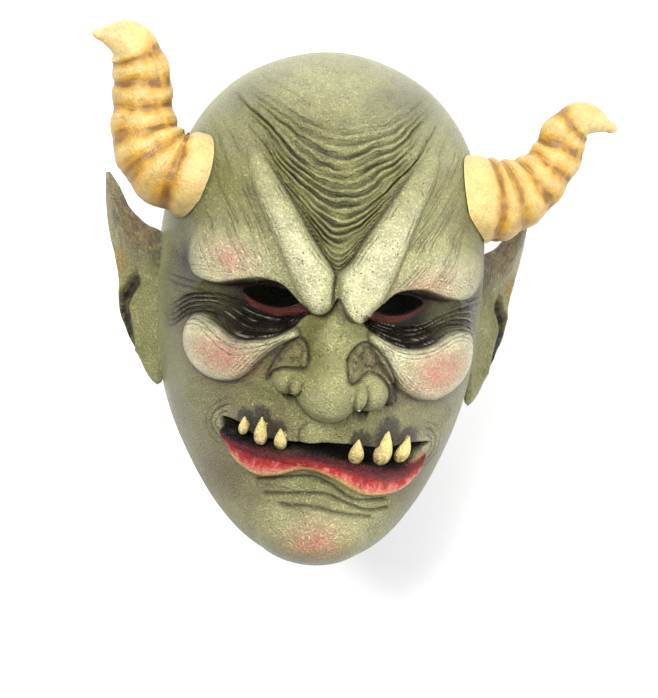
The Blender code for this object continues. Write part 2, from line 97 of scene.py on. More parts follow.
# The photograph's camera: turned and tipped from straight on, its distance and scale at the eyes
PHOTO_YAW = math.radians(6.0)
PHOTO_PITCH = math.radians(12.0)
PHOTO_ROLL = math.radians(5.2)
PHOTO_DISTANCE = 1.5
METRES_A_PIXEL = 0.00047
PHOTO_SIZE = (658, 698)
EYES_PIXEL = (336.0, 305.0)
SENSOR = 36.0

# The head's shape along its height: half width, middle and depth to the front and to the back
WIDTH_CURVE = ((-136, 78), (-106, 80), (-60, 80), (-20, 80), (10, 82), (50, 87), (80, 93), (98, 95),
               (108, 90))
CENTRE_CURVE = ((-136, -45), (-119, -51), (-106, -60), (-88, -70), (-45, -80), (5, -88), (60, -90),
                (108, -92))
FRONT_CURVE = ((-136, 122), (-122, 112), (-112, 106), (-100, 100), (-88, 95), (-60, 94), (-25, 93), (5, 93),
               (45, 99), (65, 104), (85, 108), (108, 110))
BACK_CURVE = ((-136, 120), (-106, 112), (-75, 99), (-45, 100), (-20, 99), (5, 102), (45, 104), (85, 99),
              (108, 96))

# Outlines of the carving
BROW_EDGE = ((-76, 12), (-69, 9), (-61, 4), (-52, 3), (-42, 6.5), (-33, 9), (-24, 7), (-16, 0), (-9, -4),
             (-3, -1), (0, 4), (3, -1), (8, -6), (16, -2), (25, 6.5), (35, 8.5), (48, 4), (60, 2), (70, 8))
LEFT_ROLL = ((-2.5, 1), (-2.2, 9), (-3, 16.5), (-12.5, 29.5), (-23, 45.5), (-32, 57.5), (-40, 67), (-45, 66),
             (-42.5, 54.5), (-37.5, 42.5), (-29, 27), (-22, 13), (-16, 2), (-9, -4))
RIGHT_ROLL = ((0.5, 0), (-0.8, 9), (-0.8, 15.5), (4.5, 21.5), (10, 31), (15.5, 39.5), (27, 56), (39, 69),
              (46, 68), (42.5, 56), (35, 42), (28, 24), (21, 7), (15, -3), (8, -7))
LEFT_POUCH = ((-62, -13), (-67, -22), (-66, -33), (-59, -40.5), (-49, -42.5), (-40, -38), (-33, -29),
              (-25, -20.5), (-17, -15), (-21, -12), (-32, -15), (-45, -17), (-54, -13))
RIGHT_POUCH = ((17, -12), (19, -19), (25, -29), (32, -37), (41, -43), (51, -45), (62, -41), (69, -33),
               (70, -21), (66, -12), (57, -11), (46, -14), (35, -15), (25, -12))
LEFT_HOOK = ((-30, -37), (-26.5, -31.5), (-21, -28), (-13.4, -28), (-11.5, -24), (-13, -18.5), (-16, -16.5),
             (-19.5, -18), (-23, -22), (-26.5, -27.5))
RIGHT_HOOK = ((6.5, -30), (6, -24), (9, -18.5), (14.5, -16), (20, -19), (25, -25.5), (29.5, -34), (31.5, -41),
              (30, -46), (26.5, -43), (26, -36), (22, -30), (16.5, -28), (11, -30))
MOUTH_GAP = ((-48.5, -60.5), (-40, -61), (-30, -64.5), (-12, -64), (-2, -63), (11, -63.5), (29, -66),
             (42, -66), (53, -68), (46, -71), (39, -76.5), (28, -77), (16, -74), (3, -71), (-10, -68.5),
             (-22, -69), (-35, -68.5), (-45, -66))
LOWER_LIP = ((-47, -64), (-35, -67.5), (-21, -68.5), (-9, -68), (3, -70.5), (16, -73.5), (28, -76.5),
             (40, -75.5), (49, -70), (48, -78), (43, -84.5), (36, -89), (26, -90), (17, -88.5), (8, -83.5),
             (0, -79.5), (-9, -78), (-20, -82.5), (-29, -84), (-38, -80), (-44, -72))
LIP_TOP = ((-47, -64), (-35, -67.5), (-9, -68), (16, -73.5), (28, -76.5), (40, -75.5), (50, -70))
LIP_BORDER = ((-45, -72), (-38, -80), (-29, -84), (-20, -82.5), (-9, -78), (0, -79.5), (8, -83.5),
              (17, -88.5), (26, -90), (36, -89), (43, -84.5), (49, -76))
CHIN_CREASES = (((-30, -88), (-16, -84.5), (-4, -83), (6, -87), (17, -93.5), (32, -94)),
                ((-26, -94), (-12, -92), (2, -91), (12, -94.5), (24, -99), (34, -99)),
                ((-18, -98), (-4, -96.5), (10, -99), (26, -102.5)))
# The black folds under each eye: the upper line and the lower one
LEFT_LID = ((-76, -16), (-72, -11), (-67, -6), (-60, -2.8), (-51, -2.4), (-44, -4.6), (-39, -6.6),
            (-32, -7.6), (-23, -6.4), (-15.5, -4.2), (-8, -3))
LEFT_SHADE = ((-76, -28), (-72.5, -24), (-68, -17.5), (-62.5, -13.6), (-58, -12.4), (-53, -14.7),
              (-47, -17.8), (-41, -19.4), (-34, -18.3), (-25.5, -15.3), (-20, -11.5), (-15.5, -6.5),
              (-8, -4.5))
RIGHT_LID = ((8, -1.5), (11, -2.4), (18, -5.5), (24.5, -7.5), (32, -9.3), (42.5, -9.7), (48.5, -8.4),
             (54, -6.2), (60.5, -4), (66.5, -2.6), (74, -3.5))
RIGHT_SHADE = ((8, -3.5), (13, -6.5), (18, -10.7), (24, -14.2), (31.5, -17.2), (37.5, -17.8), (44.5, -17),
               (51, -14.7), (56, -12.7), (60.5, -12.7), (65.5, -15.5), (72, -22.8), (75, -27))
# The forehead's hanging folds, by the height of their lowest point: slope of the arms, roundness and spacing
FOLD_SLOPES = ((-20, 1.5), (16, 1.40), (43, 1.02), (68, 0.68), (85, 0.48), (130, 0.3))
FOLD_BENDS = ((-20, 2), (16, 2.5), (43, 13), (68, 18), (85, 22), (130, 26))
FOLD_SPACING = ((-20, 2.0), (16, 2.1), (28, 3.2), (42, 4.1), (90, 4.4), (130, 4.4))
EYES = (((-29.5, 0.0), -0.05), ((30.0, 0.0), 0.02))
NOSE_ROUNDS = (((-20, -34), (7.4, 7.6)), ((17.8, -37.5), (9.6, 9.6)), ((-1.5, -36.8), (15.6, 14.6)))
NOSTRILS = ((-19.0, -42.0), (16.0, -46.0))
NOSTRIL_TILT = math.radians(42)
TEETH = (((-38.5, -65.5), (-38.2, -56.8), 0.68), ((-30.2, -69.0), (-30.5, -55.2), 0.92),
         ((-21.0, -69.5), (-21.8, -58.6), 0.86), ((14.8, -74.0), (15.2, -61.0), 1.0),
         ((27.2, -75.0), (30.0, -58.0), 1.2), ((36.8, -74.5), (41.2, -62.0), 0.98))
TOOTH_FEET = ((-45, -64), (-22, -68), (0, -69), (15, -71.5), (27, -73), (45, -72))
TOOTH_STAND = 3.8
TOOTH_LEAN = 1.6
JAW_LINE = ((30, -133.5), (2, -132), (-6, -129), (-15, -121), (-30, -106.5), (-45, -89), (-60, -73.5),
            (-74, -61), (-95, -60), (-130, -68), (-170, -80), (-215, -88))
EAR_OUTLINE = ((38, 40), (39, 27), (35, 10), (28, -5), (24, -18), (22, -29), (16, -39), (8, -48), (-1, -58),
               (-8, -60), (-10, -45), (-8, -20), (-7, 5), (2, 14), (14, 17), (28, 26))
EAR_CENTRE = (9.0, -14.0)
EAR_SLIT = ((13, -12), (17, -19), (19, -26), (15, -36), (12, -43))
ROLL_MIDDLE = ((0, 10), (16, 13), (32, 23), (50, 33), (66, 42))
EAR_SPIKE = ((10, -2), (20, 12), (30, 26), (37, 38))
LEFT_EAR_TURN = math.radians(41)
RIGHT_EAR_TURN = math.radians(49)
LEFT_HORN_LINE = ((-44, 42, -62), (-65, 46, -60), (-82, 50, -62), (-92, 62, -66), (-95, 78, -69),
                  (-97, 94, -70), (-105, 108, -69), (-122, 111, -66))
RIGHT_HORN_LINE = ((46, 42, -60), (66, 44, -62), (84, 46, -66), (99, 54, -69), (109, 67, -72), (113, 79, -73),
                   (122, 87, -72), (138, 83, -70))
LEFT_HORN_WIDTHS = (1.08, 1.08, 1.02, 0.91, 0.77, 0.72, 0.54, 0.0)
RIGHT_HORN_WIDTHS = (1.14, 1.12, 1.08, 0.88, 0.68, 0.62, 0.43, 0.0)
HORN_RIDGES = 6
RING_DEPTH = 0.075
RING_UNEVENNESS = 0.008
RING_FADE = 0.06
RINGS_START = 0.27
RINGS_END = 0.79


def rgb(red, green, blue):
    """A screen colour as scene-linear values."""
    screen = np.array((red, green, blue)) / 255.0
    return np.where(screen <= 0.04045, screen / 12.92, ((screen + 0.055) / 1.055) ** 2.4)


SAGE = rgb(122, 122, 76)
PALE_SAGE = rgb(156, 154, 105)
OLIVE = rgb(98, 97, 38)
MOSS = rgb(66, 66, 38)
EARTH = rgb(82, 64, 36)
CREAM = rgb(190, 188, 148)
BLUSH = rgb(178, 108, 96)
WASH = rgb(30, 24, 14)
BLACK = rgb(16, 11, 10)
UMBER = rgb(70, 54, 34)
GUM = rgb(66, 40, 34)
LIP_DARK = rgb(62, 16, 20)
LIP_RED = rgb(150, 34, 32)
LIP_PINK = rgb(206, 124, 108)
LIP_EDGE = rgb(196, 172, 104)
EYE_RED = rgb(66, 24, 18)
TOOTH_CREAM = rgb(206, 188, 122)
TOOTH_ROOT = rgb(112, 80, 28)
INSIDE = rgb(60, 60, 44)
HORN_CREAM = rgb(172, 150, 92)
HORN_OCHRE = rgb(162, 122, 38)
HORN_BROWN = rgb(102, 66, 12)
HORN_TIP = rgb(176, 152, 100)
# Painted highlight: grey lines along the crests of the black folds under the eyes stand in for their gloss
CREST_HIGHLIGHT_GREY = rgb(158, 154, 138)
EAR_TAN = rgb(128, 112, 82)
EAR_BROWN = rgb(96, 70, 44)
EAR_OCHRE = rgb(160, 118, 56)
FLECK_DARK = (0.030, 0.026, 0.012, 1.0)
LINE_DARK = (0.022, 0.020, 0.010, 1.0)
PIT_BROWN = (0.13, 0.055, 0.012, 1.0)
FLOOR_WHITE = (0.86, 0.86, 0.86, 1.0)

# Soft patches on the face, in rows of one paint: strength, place, radii and where needed a turn
OLIVE_PATCHES = ((OLIVE, ((0.75, (-50, 46), (9, 17), 0.5), (0.55, (-26, 80), (20, 8)))),
                 (OLIVE, ((0.30, (44, 34), (9, 9)), (0.35, (-66, 40), (10, 20)))),
                 (OLIVE, ((0.85, (-11, -14), (5.5, 12)), (0.55, (-9, -28), (6, 8)))),
                 (OLIVE, ((0.25, (10, -12), (6, 10)), (0.45, (-21, -33), (6, 7)))),
                 (OLIVE, ((0.35, (0, -50), (16, 4)),)))
EARTH_PATCHES = ((EARTH, ((0.60, (-46, -84), (18, 30), 0.3), (0.55, (50, -88), (16, 28), -0.3))),)
# Pale paint, except the spots on the nose's ball and on its two wings, which are painted highlights
PALE_PAINT_AND_NOSE_HIGHLIGHTS = ((PALE_SAGE, ((0.55, (-5, -35), (8, 8)), (0.5, (17, -37), (7, 7)))),
                (PALE_SAGE, ((0.45, (1, -12), (7, 12)), (0.5, (-21, -34), (3, 4)))),
                (PALE_SAGE, ((0.6, (-1, -108), (30, 14)), (0.4, (-5, -60), (13, 4)))),
                (CREAM, ((0.35, (0, -104), (22, 6)),)))
BLUSHES = ((0.66, (-45.5, 15), (9, 8)), (0.50, (41, 10.5), (13, 7)), (0.80, (-47, -28), (13, 9.5)),
           (0.85, (47.5, -29.5), (14, 9.5)))

# Soft studio lights: name, place in metres, width in metres and power in watts
LIGHTS = (("key", (-0.55, 0.6, 1.45), 0.6, 40.0), ("fill", (1.1, 0.1, 0.9), 0.9, 20.0),
          ("top", (0.1, 1.5, 0.75), 0.7, 14.0))
LIT_PLACE = (0, 0, 0.15)
FLOOR_WIDTH = 6.0
WORLD_STRENGTH = 0.42
SHARP_ANGLE = math.radians(70)


def smooth_curve(points, place):
    """Height at each place of a smooth curve through the points."""
    stations, values = np.array(points, dtype=float).T
    slopes = np.gradient(values, stations)
    i = np.clip(np.searchsorted(stations, place) - 1, 0, len(stations) - 2)
    span = stations[i + 1] - stations[i]
    t = np.clip((place - stations[i]) / span, 0.0, 1.0)
    rise = values[i] * (1 + 2 * t) * (1 - t) ** 2 + values[i + 1] * t * t * (3 - 2 * t)
    return rise + span * t * (1 - t) * (slopes[i] * (1 - t) - slopes[i + 1] * t)


def smooth_line(points, steps, closed=False):
    """Points along a smooth line through the given ones."""
    points = np.array(points, dtype=float)
    count = len(points)
    last = count if closed else count - 1
    line = []
    for i in range(last):
        if closed:
            a, b, c, d = (points[(i + k) % count] for k in (-1, 0, 1, 2))
        else:
            b, c = points[i], points[i + 1]
            a = points[i - 1] if i > 0 else 2 * b - c
            d = points[i + 2] if i + 2 < count else 2 * c - b
        for k in range(steps):
            t = k / steps
            line.append(b + 0.5 * t * (c - a + t * (2 * a - 5 * b + 4 * c - d + t * (3 * (b - c) + d - a))))
    if not closed:
        line.append(points[-1])
    return np.array(line)


def step(low, high, value):
    """0 below low, 1 above high, smooth between them."""
    t = np.clip((value - low) / (high - low), 0.0, 1.0)
    return t * t * (3 - 2 * t)


def noise(x, y, seed):
    """Smooth noise from -1 to 1 with a grain of one unit."""
    i, j = np.floor(x), np.floor(y)
    u, v = x - i, y - j
    u, v = u * u * (3 - 2 * u), v * v * (3 - 2 * v)

    def corner(a, b):
        wave = np.sin(a * 127.1 + b * 311.7 + seed * 74.7) * 43758.5453
        return wave - np.floor(wave)

    low = corner(i, j) * (1 - u) + corner(i + 1, j) * u
    high = corner(i, j + 1) * (1 - u) + corner(i + 1, j + 1) * u
    return (low * (1 - v) + high * v) * 2 - 1


def dome(x, y, place, radii, turn=0.0):
    """A round swelling of height 1 over an ellipse."""
    dx, dy = x - place[0], y - place[1]
    along = (dx * math.cos(turn) + dy * math.sin(turn)) / radii[0]
    across = (dy * math.cos(turn) - dx * math.sin(turn)) / radii[1]
    return np.clip(1.0 - along ** 2 - across ** 2, 0.0, 1.0) ** 0.75


def spot(x, y, place, radii, turn=0.0):
    """A soft patch that fades from 1 at its middle."""
    dx, dy = x - place[0], y - place[1]
    along = (dx * math.cos(turn) + dy * math.sin(turn)) / radii[0]
    across = (dy * math.cos(turn) - dx * math.sin(turn)) / radii[1]
    return np.exp(-along ** 2 - across ** 2)


def line_distance(x, y, line):
    """Distance from each point to a line."""
    nearest = np.full(x.shape, 1e9)
    for a, b in zip(line[:-1], line[1:]):
        edge = b - a
        t = np.clip(((x - a[0]) * edge[0] + (y - a[1]) * edge[1]) / max(edge @ edge, 1e-9), 0.0, 1.0)
        nearest = np.minimum(nearest, np.hypot(x - a[0] - t * edge[0], y - a[1] - t * edge[1]))
    return nearest


def depth_inside(x, y, outline):
    """Distance in from a closed smooth outline, negative outside it."""
    line = smooth_line(outline, 4, closed=True)
    ring = np.vstack((line, line[:1]))
    inside = np.zeros(x.shape, dtype=bool)
    for a, b in zip(ring[:-1], ring[1:]):
        spans = (a[1] > y) != (b[1] > y)
        rise = b[1] - a[1] if b[1] != a[1] else 1e-9
        inside ^= spans & (x < (b[0] - a[0]) * (y - a[1]) / rise + a[0])
    away = line_distance(x, y, ring)
    return np.where(inside, away, -away)


def rounded(depth, shoulder):
    """A pad's height of 1 with a rounded shoulder, from the depth inside its outline."""
    t = np.clip(depth / shoulder, 0.0, 1.0)
    return np.sqrt(1.0 - (1.0 - t) ** 2)


def furrow(phase, width):
    """1 in the furrow at each whole number, 0 between them."""
    away = np.abs(phase - np.round(phase))
    return np.exp(-(away / width) ** 2)


def fold_level(x, y):
    """Which hanging fold passes a place, named by its lowest point, and how far it is spread there."""
    across = np.abs(x + 1.8)
    low, high = np.full(x.shape, -20.0), np.full(x.shape, 130.0)

    def fold(level):
        slope = smooth_curve(FOLD_SLOPES, level)
        bend = smooth_curve(FOLD_BENDS, level)
        return level + slope * (np.sqrt(across ** 2 + bend ** 2) - bend)

    for _ in range(22):
        middle = (low + high) / 2
        under = fold(middle) < y
        low = np.where(under, middle, low)
        high = np.where(under, high, middle)
    level = (low + high) / 2
    return level, (fold(level + 1.0) - fold(level - 1.0)) / 2


class Face:
    """The face's carving and paint over places x, y of the plain head."""

    def __init__(self, x, y, fine):
        self.x, self.y, self.fine = x, y, fine
        self.wash = np.zeros(x.shape)
        self.height = np.zeros(x.shape)
        self.lines = [[np.zeros(x.shape), np.zeros(x.shape)] for _ in range(3)]
        self.edge = smooth_curve(BROW_EDGE, x)
        self.above = step(-0.9, 0.9, y - self.edge) if fine else step(-1.6, 1.6, y - self.edge)
        self.rolls = (depth_inside(x, y, LEFT_ROLL), depth_inside(x, y, RIGHT_ROLL))
        self.pouches = (depth_inside(x, y, LEFT_POUCH), depth_inside(x, y, RIGHT_POUCH))
        self.hooks = (depth_inside(x, y, LEFT_HOOK), depth_inside(x, y, RIGHT_HOOK))
        self.gap = depth_inside(x, y, MOUTH_GAP)
        self.lip = depth_inside(x, y, LOWER_LIP)
        self.on_lip = step(0.2, 1.0, self.lip)
        self.brows()
        self.cheeks()
        self.nose()
        self.mouth()
        if fine:
            self.forehead_folds()
            self.brow_lines()
            self.eye_ridges()
            self.snarl()
            self.cheek_lines()
            self.lip_lines()

    def draw(self, layer, phase, strength):
        """Give a place to fine lines, one at each whole number of the phase."""
        kept_phase, kept_strength = self.lines[layer]
        wins = strength > kept_strength
        self.lines[layer] = [np.where(wins, phase, kept_phase), np.where(wins, strength, kept_strength)]

    def brows(self):
        """The brow ledge, the two frown rolls, the domes over the eyes and the hollows round them."""
        x, y = self.x, self.y
        ledge = self.above * step(72, 60, -x) * step(80, 66, x)
        self.height += 6.0 * ledge * np.exp(-((y - self.edge) / 30.0) ** 2)
        swell = 2.6 + 3.6 * step(66, 12, y)
        self.height += swell * (rounded(self.rolls[0], 9.0) + rounded(self.rolls[1], 9.0))
        upper = dome(x, y, (-45, 44), (18, 26), 0.5) + dome(x, y, (44, 44), (18, 26), -0.5)
        self.height += 2.2 * self.above * upper
        self.height += 4.5 * self.above * dome(x, y, (-47, 15), (20, 17))
        self.height += 4.5 * self.above * dome(x, y, (47, 14), (22, 17))
        for side, place in ((-1, (-33, -3)), (1, (33, -3))):
            self.height -= 7.5 * (1 - self.above) * dome(x, y, place, (31, 15), -0.05 * side)
        under = step(-2.4, -0.4, y - self.edge) * step(0.9, -0.3, y - self.edge)
        self.wash = np.maximum(self.wash, 0.8 * under * step(72, 60, np.abs(x)))

    def cheeks(self):
        """The pouches under the eyes and the hollows beside the mouth."""
        x, y = self.x, self.y
        for depth in self.pouches:
            self.height += 8.0 * rounded(depth, 13.0)
            self.wash = np.maximum(self.wash, 0.85 * np.exp(-((depth + 0.7) / 1.0) ** 2))
        for centre in ((-42, -52), (40, -55)):
            self.height -= 3.0 * dome(x, y, centre, (24, 12))

    def nose(self):
        """The ridge, ball and wings of the nose and the curled folds beside it."""
        x, y = self.x, self.y
        self.height += 8.0 * np.exp(-(x / 11.0) ** 2) * step(6, -20, y) * step(-56, -43, y)
        self.height += 15.0 * dome(x, y, (-1.5, -36.5), (16, 14.5))
        wings = 10.0 * dome(x, y, (-20, -34), (8, 8.5)) + 11.0 * dome(x, y, (17.8, -37.5), (10.5, 10.5))
        self.height += wings
        for centre in ((-17, -20), (17, -22)):
            self.height -= 2.0 * dome(x, y, centre, (7, 8))
        for depth in self.hooks:
            self.height += 3.5 * rounded(depth, 3.5)

    def mouth(self):
        """The muzzle, the open gap, the lower lip, the chin's creases and its button."""
        x, y = self.x, self.y
        sharp = 0.8 if self.fine else 1.2
        self.height += 4.0 * dome(x, y, (0, -60), (56, 14))
        self.height -= 10.0 * step(-sharp, 2.2, self.gap)
        self.height += 6.5 * rounded(self.lip, 5.5)
        for crease in CHIN_CREASES:
            away = line_distance(x, y, smooth_line(crease, 3))
            self.height -= (1.7 if self.fine else 2.0) * np.exp(-(away / (1.2 if self.fine else 1.8)) ** 2)
            self.wash = np.maximum(self.wash, 0.85 * np.exp(-(away / 0.8) ** 2))
        self.height += 4.0 * dome(x, y, (-1, -113), (27, 19))

    def carve(self, groove, depth, wash):
        """Cut furrows and let the dark wash run into them."""
        self.height -= depth * groove
        self.wash = np.maximum(self.wash, np.clip(groove, 0, 1) * wash)

    def forehead_folds(self):
        """Folds that hang like swags between the two brow rolls."""
        x, y = self.x, self.y
        wobbly = y + 1.7 * noise(x / 13, y / 13, 1) + 0.6 * noise(x / 4.5, y / 4.5, 2)
        level, spread = fold_level(x, wobbly)
        stations = np.linspace(-20, 130, 600)
        turns = np.concatenate(([0.0], np.cumsum(0.25 / smooth_curve(FOLD_SPACING, stations[:-1]))))
        phase = np.interp(level, stations, turns)
        rolls = np.maximum(self.rolls[0], self.rolls[1])
        number = np.round(phase)
        ragged = 9.0 * noise(number * 3.7 + 0.4, np.sign(x + 2) * 5.1, 41)
        self.panel = step(1.5, -1.5, rolls) * step(13.5, 17, level) * step(94 + ragged, 66 + ragged, level)
        self.panel *= step(47 + ragged, 26 + ragged, np.abs(x + 2)) * step(0.04, 0.22, spread)
        odd = np.abs(number - 2 * np.round(number / 2)) > 0.5
        fourth = np.abs(number - 4 * np.round(number / 4)) > 0.5
        kept = np.where(odd, step(0.42, 0.66, spread), np.where(fourth, step(0.2, 0.34, spread), 1.0))
        lively = 0.66 + 0.62 * noise(x / 9 + number * 7.3, y / 30, 3)
        fading = step(90, 60, level)
        self.carve(furrow(phase, 0.17) * kept * lively * self.panel * (0.35 + 0.65 * fading), 1.45, 1.0)
        self.height += 0.4 * np.cos(2 * np.pi * phase + np.pi) * self.panel * step(0.3, 0.6, spread) * fading
        self.folds = np.cos(2 * np.pi * phase + np.pi) * self.panel * step(0.3, 0.6, spread)
        self.draw(0, phase, self.panel * kept * np.clip(lively, 0, 1) * (0.3 + 0.7 * fading))
        small = 2.0 * phase + 0.5 + 0.35 * noise(x / 6, y / 6, 4)
        busy = step(-0.15, 0.5, noise(x / 7, y / 5, 5)) * step(0.45, 0.7, spread)
        self.draw(1, small, 0.75 * self.panel * busy)
        inner = (np.abs(x + 1.8) < smooth_curve(ROLL_MIDDLE, y)) * step(14, 17, y) * step(72, 56, y)
        self.wash = np.maximum(self.wash, 0.8 * inner * np.exp(-((rolls + 0.2) / 0.9) ** 2))

    def brow_lines(self):
        """Fine lines along the rolls and fanning over the outer forehead."""
        x, y = self.x, self.y
        for side, lean in ((-1, (0.86, 0.51)), (1, (0.80, -0.60))):
            across = lean[0] * x + lean[1] * y + 2.4 * noise(x / 22, y / 22, 6)
            phase = across / 1.5 + 0.16 * noise(x / 6, y / 6, 7)
            zone = step(10, 16, side * x) * step(74, 56, side * x) * step(6, 12, y) * step(88, 64, y)
            zone = zone * step(1, -3, np.maximum(self.rolls[0], self.rolls[1]))
            strokes = step(0.0, 0.55, noise(x / 15 + np.round(phase) * 3.1, y / 15, 8))
            patch = 0.40 + 0.60 * spot(x, y, (-46, 42) if side < 0 else (38, 26), (16, 16))
            self.draw(0, phase, 0.9 * zone * strokes * patch)
            self.carve(furrow(phase, 0.17) * zone * strokes, 0.25, 0.0)
        for depth in self.rolls:
            phase = depth / 1.7 + 0.5 * noise(x / 12, y / 12, 29)
            zone = step(0.4, 1.2, depth) * step(5.5, 3.5, depth) * step(10, 22, y) * step(66, 50, y)
            self.draw(2, phase, 0.7 * zone * step(-0.5, 0.3, noise(x / 9, y / 9, 28)))
        for place in ((-51, 14), (47, 13)):
            low = y - self.edge
            phase = (low + 0.03 * (x - place[0]) ** 2) / 1.5 + 0.5 * noise(x / 12, y / 12, 9)
            zone = step(24, 12, np.abs(x - place[0])) * step(0.3, 1.4, low) * step(20, 5, low)
            lively = step(-0.5, 0.5, noise(x / 5, y / 2.5 + np.round(phase) * 5.7, 10))
            self.draw(1, phase, 0.45 * zone * lively)
        phase = (x + 1.6 - 0.05 * (y - 9)) / 6.0
        self.draw(2, phase, step(0, 3, y) * step(18, 15, y) * step(3.0, 2.0, np.abs(x + 1.6)))

    def eye_ridges(self):
        """Glossy black folds of skin that sag under the eyes and fan out past their corners."""
        x, y = self.x, self.y
        self.shade, self.dark, self.crest_highlights = (np.zeros(x.shape) for _ in range(3))
        for side, lid_line, low_line in ((-1, LEFT_LID, LEFT_SHADE), (1, RIGHT_LID, RIGHT_SHADE)):
            near_side = (side * x > 6).astype(float)
            top = smooth_curve(lid_line, x)
            low = smooth_curve(low_line, x)
            place = (top - y) / np.maximum(top - low, 1.2)
            reach = side * x
            outer = step(44, 60, reach)
            zone = near_side * step(-0.12, 0.04, place) * step(1.10, 0.95, place) * step(9, 14, reach)
            zone = zone * step(77, 68, reach)
            phase = place * 4.5 + 0.25 * noise(x / 9, y / 9, 11)
            ridge = np.cos(2 * np.pi * phase)
            # Painted highlight along the crest of each fold
            crest_highlight = np.clip(ridge, 0, 1) ** 9 * zone * step(-0.4, 0.5, noise(x / 5, y / 3, 45))
            self.crest_highlights = np.maximum(self.crest_highlights, crest_highlight)
            uneven = 1.0 + 0.5 * noise(x / 4, y / 3, 42)
            self.height += (0.85 * ridge * uneven + 0.4) * zone * step(9, 20, reach)
            self.draw(1, phase + 0.5, zone * (1.0 - 0.25 * outer))
            fringe = near_side * step(1.0, 1.15, place) * step(1.9, 1.35, place) * step(16, 24, reach)
            self.draw(2, place * 4.5, 0.7 * fringe * step(75, 66, reach))
            dark = near_side * step(-0.35, -0.02, place) * step(1.14, 0.98, place) * step(8, 13, reach)
            dark = dark * step(80, 66, reach) * (1.0 - (0.30 if side < 0 else 0.45) * outer)
            between = near_side * step(-0.8, 0.8, self.edge + 0.3 - y) * step(-1.0, 1.0, y - top)
            between = between * step(7, 12, reach) * step(80, 62, reach) * (1 - 0.35 * outer)
            self.shade = np.maximum(self.shade, np.maximum(dark, between))
            corner = (side * 69.5, 9 if side < 0 else 2)
            self.dark = np.maximum(self.dark, 0.9 * spot(x, y, corner, (5.5, 13)))
            self.dark = np.maximum(self.dark, 0.45 * near_side * step(1.6, 1.0, place) * step(12, 20, reach)
                                   * step(76, 60, reach) * step(-0.1, 0.1, place))
            crow = furrow((y + 3.8 + 0.12 * (reach - 66) + 0.5 * noise(x / 4, y / 4, 33)) / 3.4, 0.17)
            crow = crow * step(60, 66, reach) * step(80, 73, reach) * step(-9, -6, y) * step(2, -1, y)
            self.carve(crow, 0.6, 0.8)

    def snarl(self):
        """The curled dark folds beside the nose and the furrows round its wings."""
        x, y = self.x, self.y
        self.lobes = np.zeros(x.shape)
        for number, depth in enumerate(self.hooks):
            self.carve(np.exp(-((depth + 0.5) / 0.75) ** 2), 1.1, 0.95)
            self.lobes = np.maximum(self.lobes, step(-0.5, 1.5, depth) * (1.0 if number else 0.75))
            if number:
                phase = depth / 1.5 + 0.9 * noise(x / 5, y / 5, 35)
                lively = step(-0.1, 0.6, noise(x / 2.2, y / 2.2, 36))
                self.draw(0, phase, 0.6 * step(0.5, 1.2, depth) * lively)
        for place, radii in NOSE_ROUNDS:
            ring = np.hypot((x - place[0]) / radii[0], (y - place[1]) / radii[1])
            around_low = np.exp(-((ring - 1.03) / 0.07) ** 2)
            self.carve(around_low * step(-28, -38, y), 0.8, 0.7)
        self.dark = np.maximum(self.dark, 0.9 * spot(x, y, (29.5, -39), (3.2, 6.5), 0.15))
        self.dark = np.maximum(self.dark, 0.8 * spot(x, y, (14.5, -47.5), (5.5, 2.2), 0.2))
        self.dark = np.maximum(self.dark, 0.85 * spot(x, y, (-18.5, -43.2), (4.2, 2.0), -0.5))

    def cheek_lines(self):
        """Fine lines that follow the pouches' rims, and smile lines at the mouth's corners."""
        x, y = self.x, self.y
        for depth in self.pouches:
            phase = depth / 1.35 + 0.3 * noise(x / 10, y / 10, 12)
            zone = step(0.5, 1.4, depth) * step(9, 3.5, depth)
            lively = step(-0.6, 0.5, noise(x / 5, y / 5, 13))
            self.draw(0, phase, 0.62 * zone * lively)
            outside = step(-0.6, -1.6, depth) * step(-7, -3, depth) * step(-12, -20, y)
            self.draw(1, phase * 0.8, 0.45 * outside * lively)
        for centre, side in (((-46, -63), -1), ((50, -69), 1)):
            ring = np.hypot((x - centre[0]) * 1.0, (y - centre[1]) * 0.8)
            zone = step(-2.0, 3.0, (x - centre[0]) * side) * step(2.5, 3.6, ring) * step(12, 7, ring)
            phase = ring / 2.4 + 0.15 * noise(x / 5, y / 5, 14)
            self.carve(furrow(phase, 0.18) * zone, 0.55, 0.0)
            self.draw(0, phase, 0.9 * zone)
        pores = step(0.40, 0.7, noise(x / 1.05, y / 1.05, 17))
        zone = np.maximum(spot(x, y, (0, -56), (34, 7)), spot(x, y, (0, -15), (9, 16)))
        self.carve(pores * zone, 0.35, 0.35)
        knob = np.hypot(x + 6.5, (y + 60.5) * 0.9)
        self.height += 1.2 * step(6.0, 2.0, knob)
        self.carve(np.exp(-((knob - 6.3) / 0.7) ** 2) * step(-0.5, 0.5, -(x + 8) / 6), 0.6, 0.6)

    def lip_lines(self):
        """Short upright wrinkles across the lower lip and the chin's fine lines."""
        x, y = self.x, self.y
        inside = step(0.3, 1.8, self.lip)
        phase = x / 1.7 + 0.08 * (y + 75) + 0.4 * noise(x / 6, y / 6, 18)
        self.lip_furrow = furrow(phase, 0.22) * inside * step(-0.2, 0.5, noise(x / 3, y / 9, 19))
        self.height -= 0.3 * self.lip_furrow
        self.draw(2, 1.6 * phase, 0.28 * inside * step(-0.3, 0.4, noise(x / 2, y / 5, 43)))
        wave = y + 90.5 + 3.4 * np.sin((x + 8) / 16.0) - 0.05 * (x + 4)
        phase = wave / 3.6 + 0.22 * noise(x / 16, y / 9, 20)
        zone = step(-1.5, -3.5, self.lip) * step(-101, -97, y) * step(-79, -84, y)
        zone = zone * step(42, 26, np.abs(x - 3))
        self.draw(1, phase, 0.5 * zone * step(-0.1, 0.6, noise(x / 22 + np.round(phase) * 4.3, y / 9, 21)))

    def brush(self, paint, amount):
        """Lay a share of a paint over the colours."""
        share = np.clip(amount, 0.0, 1.0)[:, None]
        self.colour[:] = self.colour * (1 - share) + paint * share

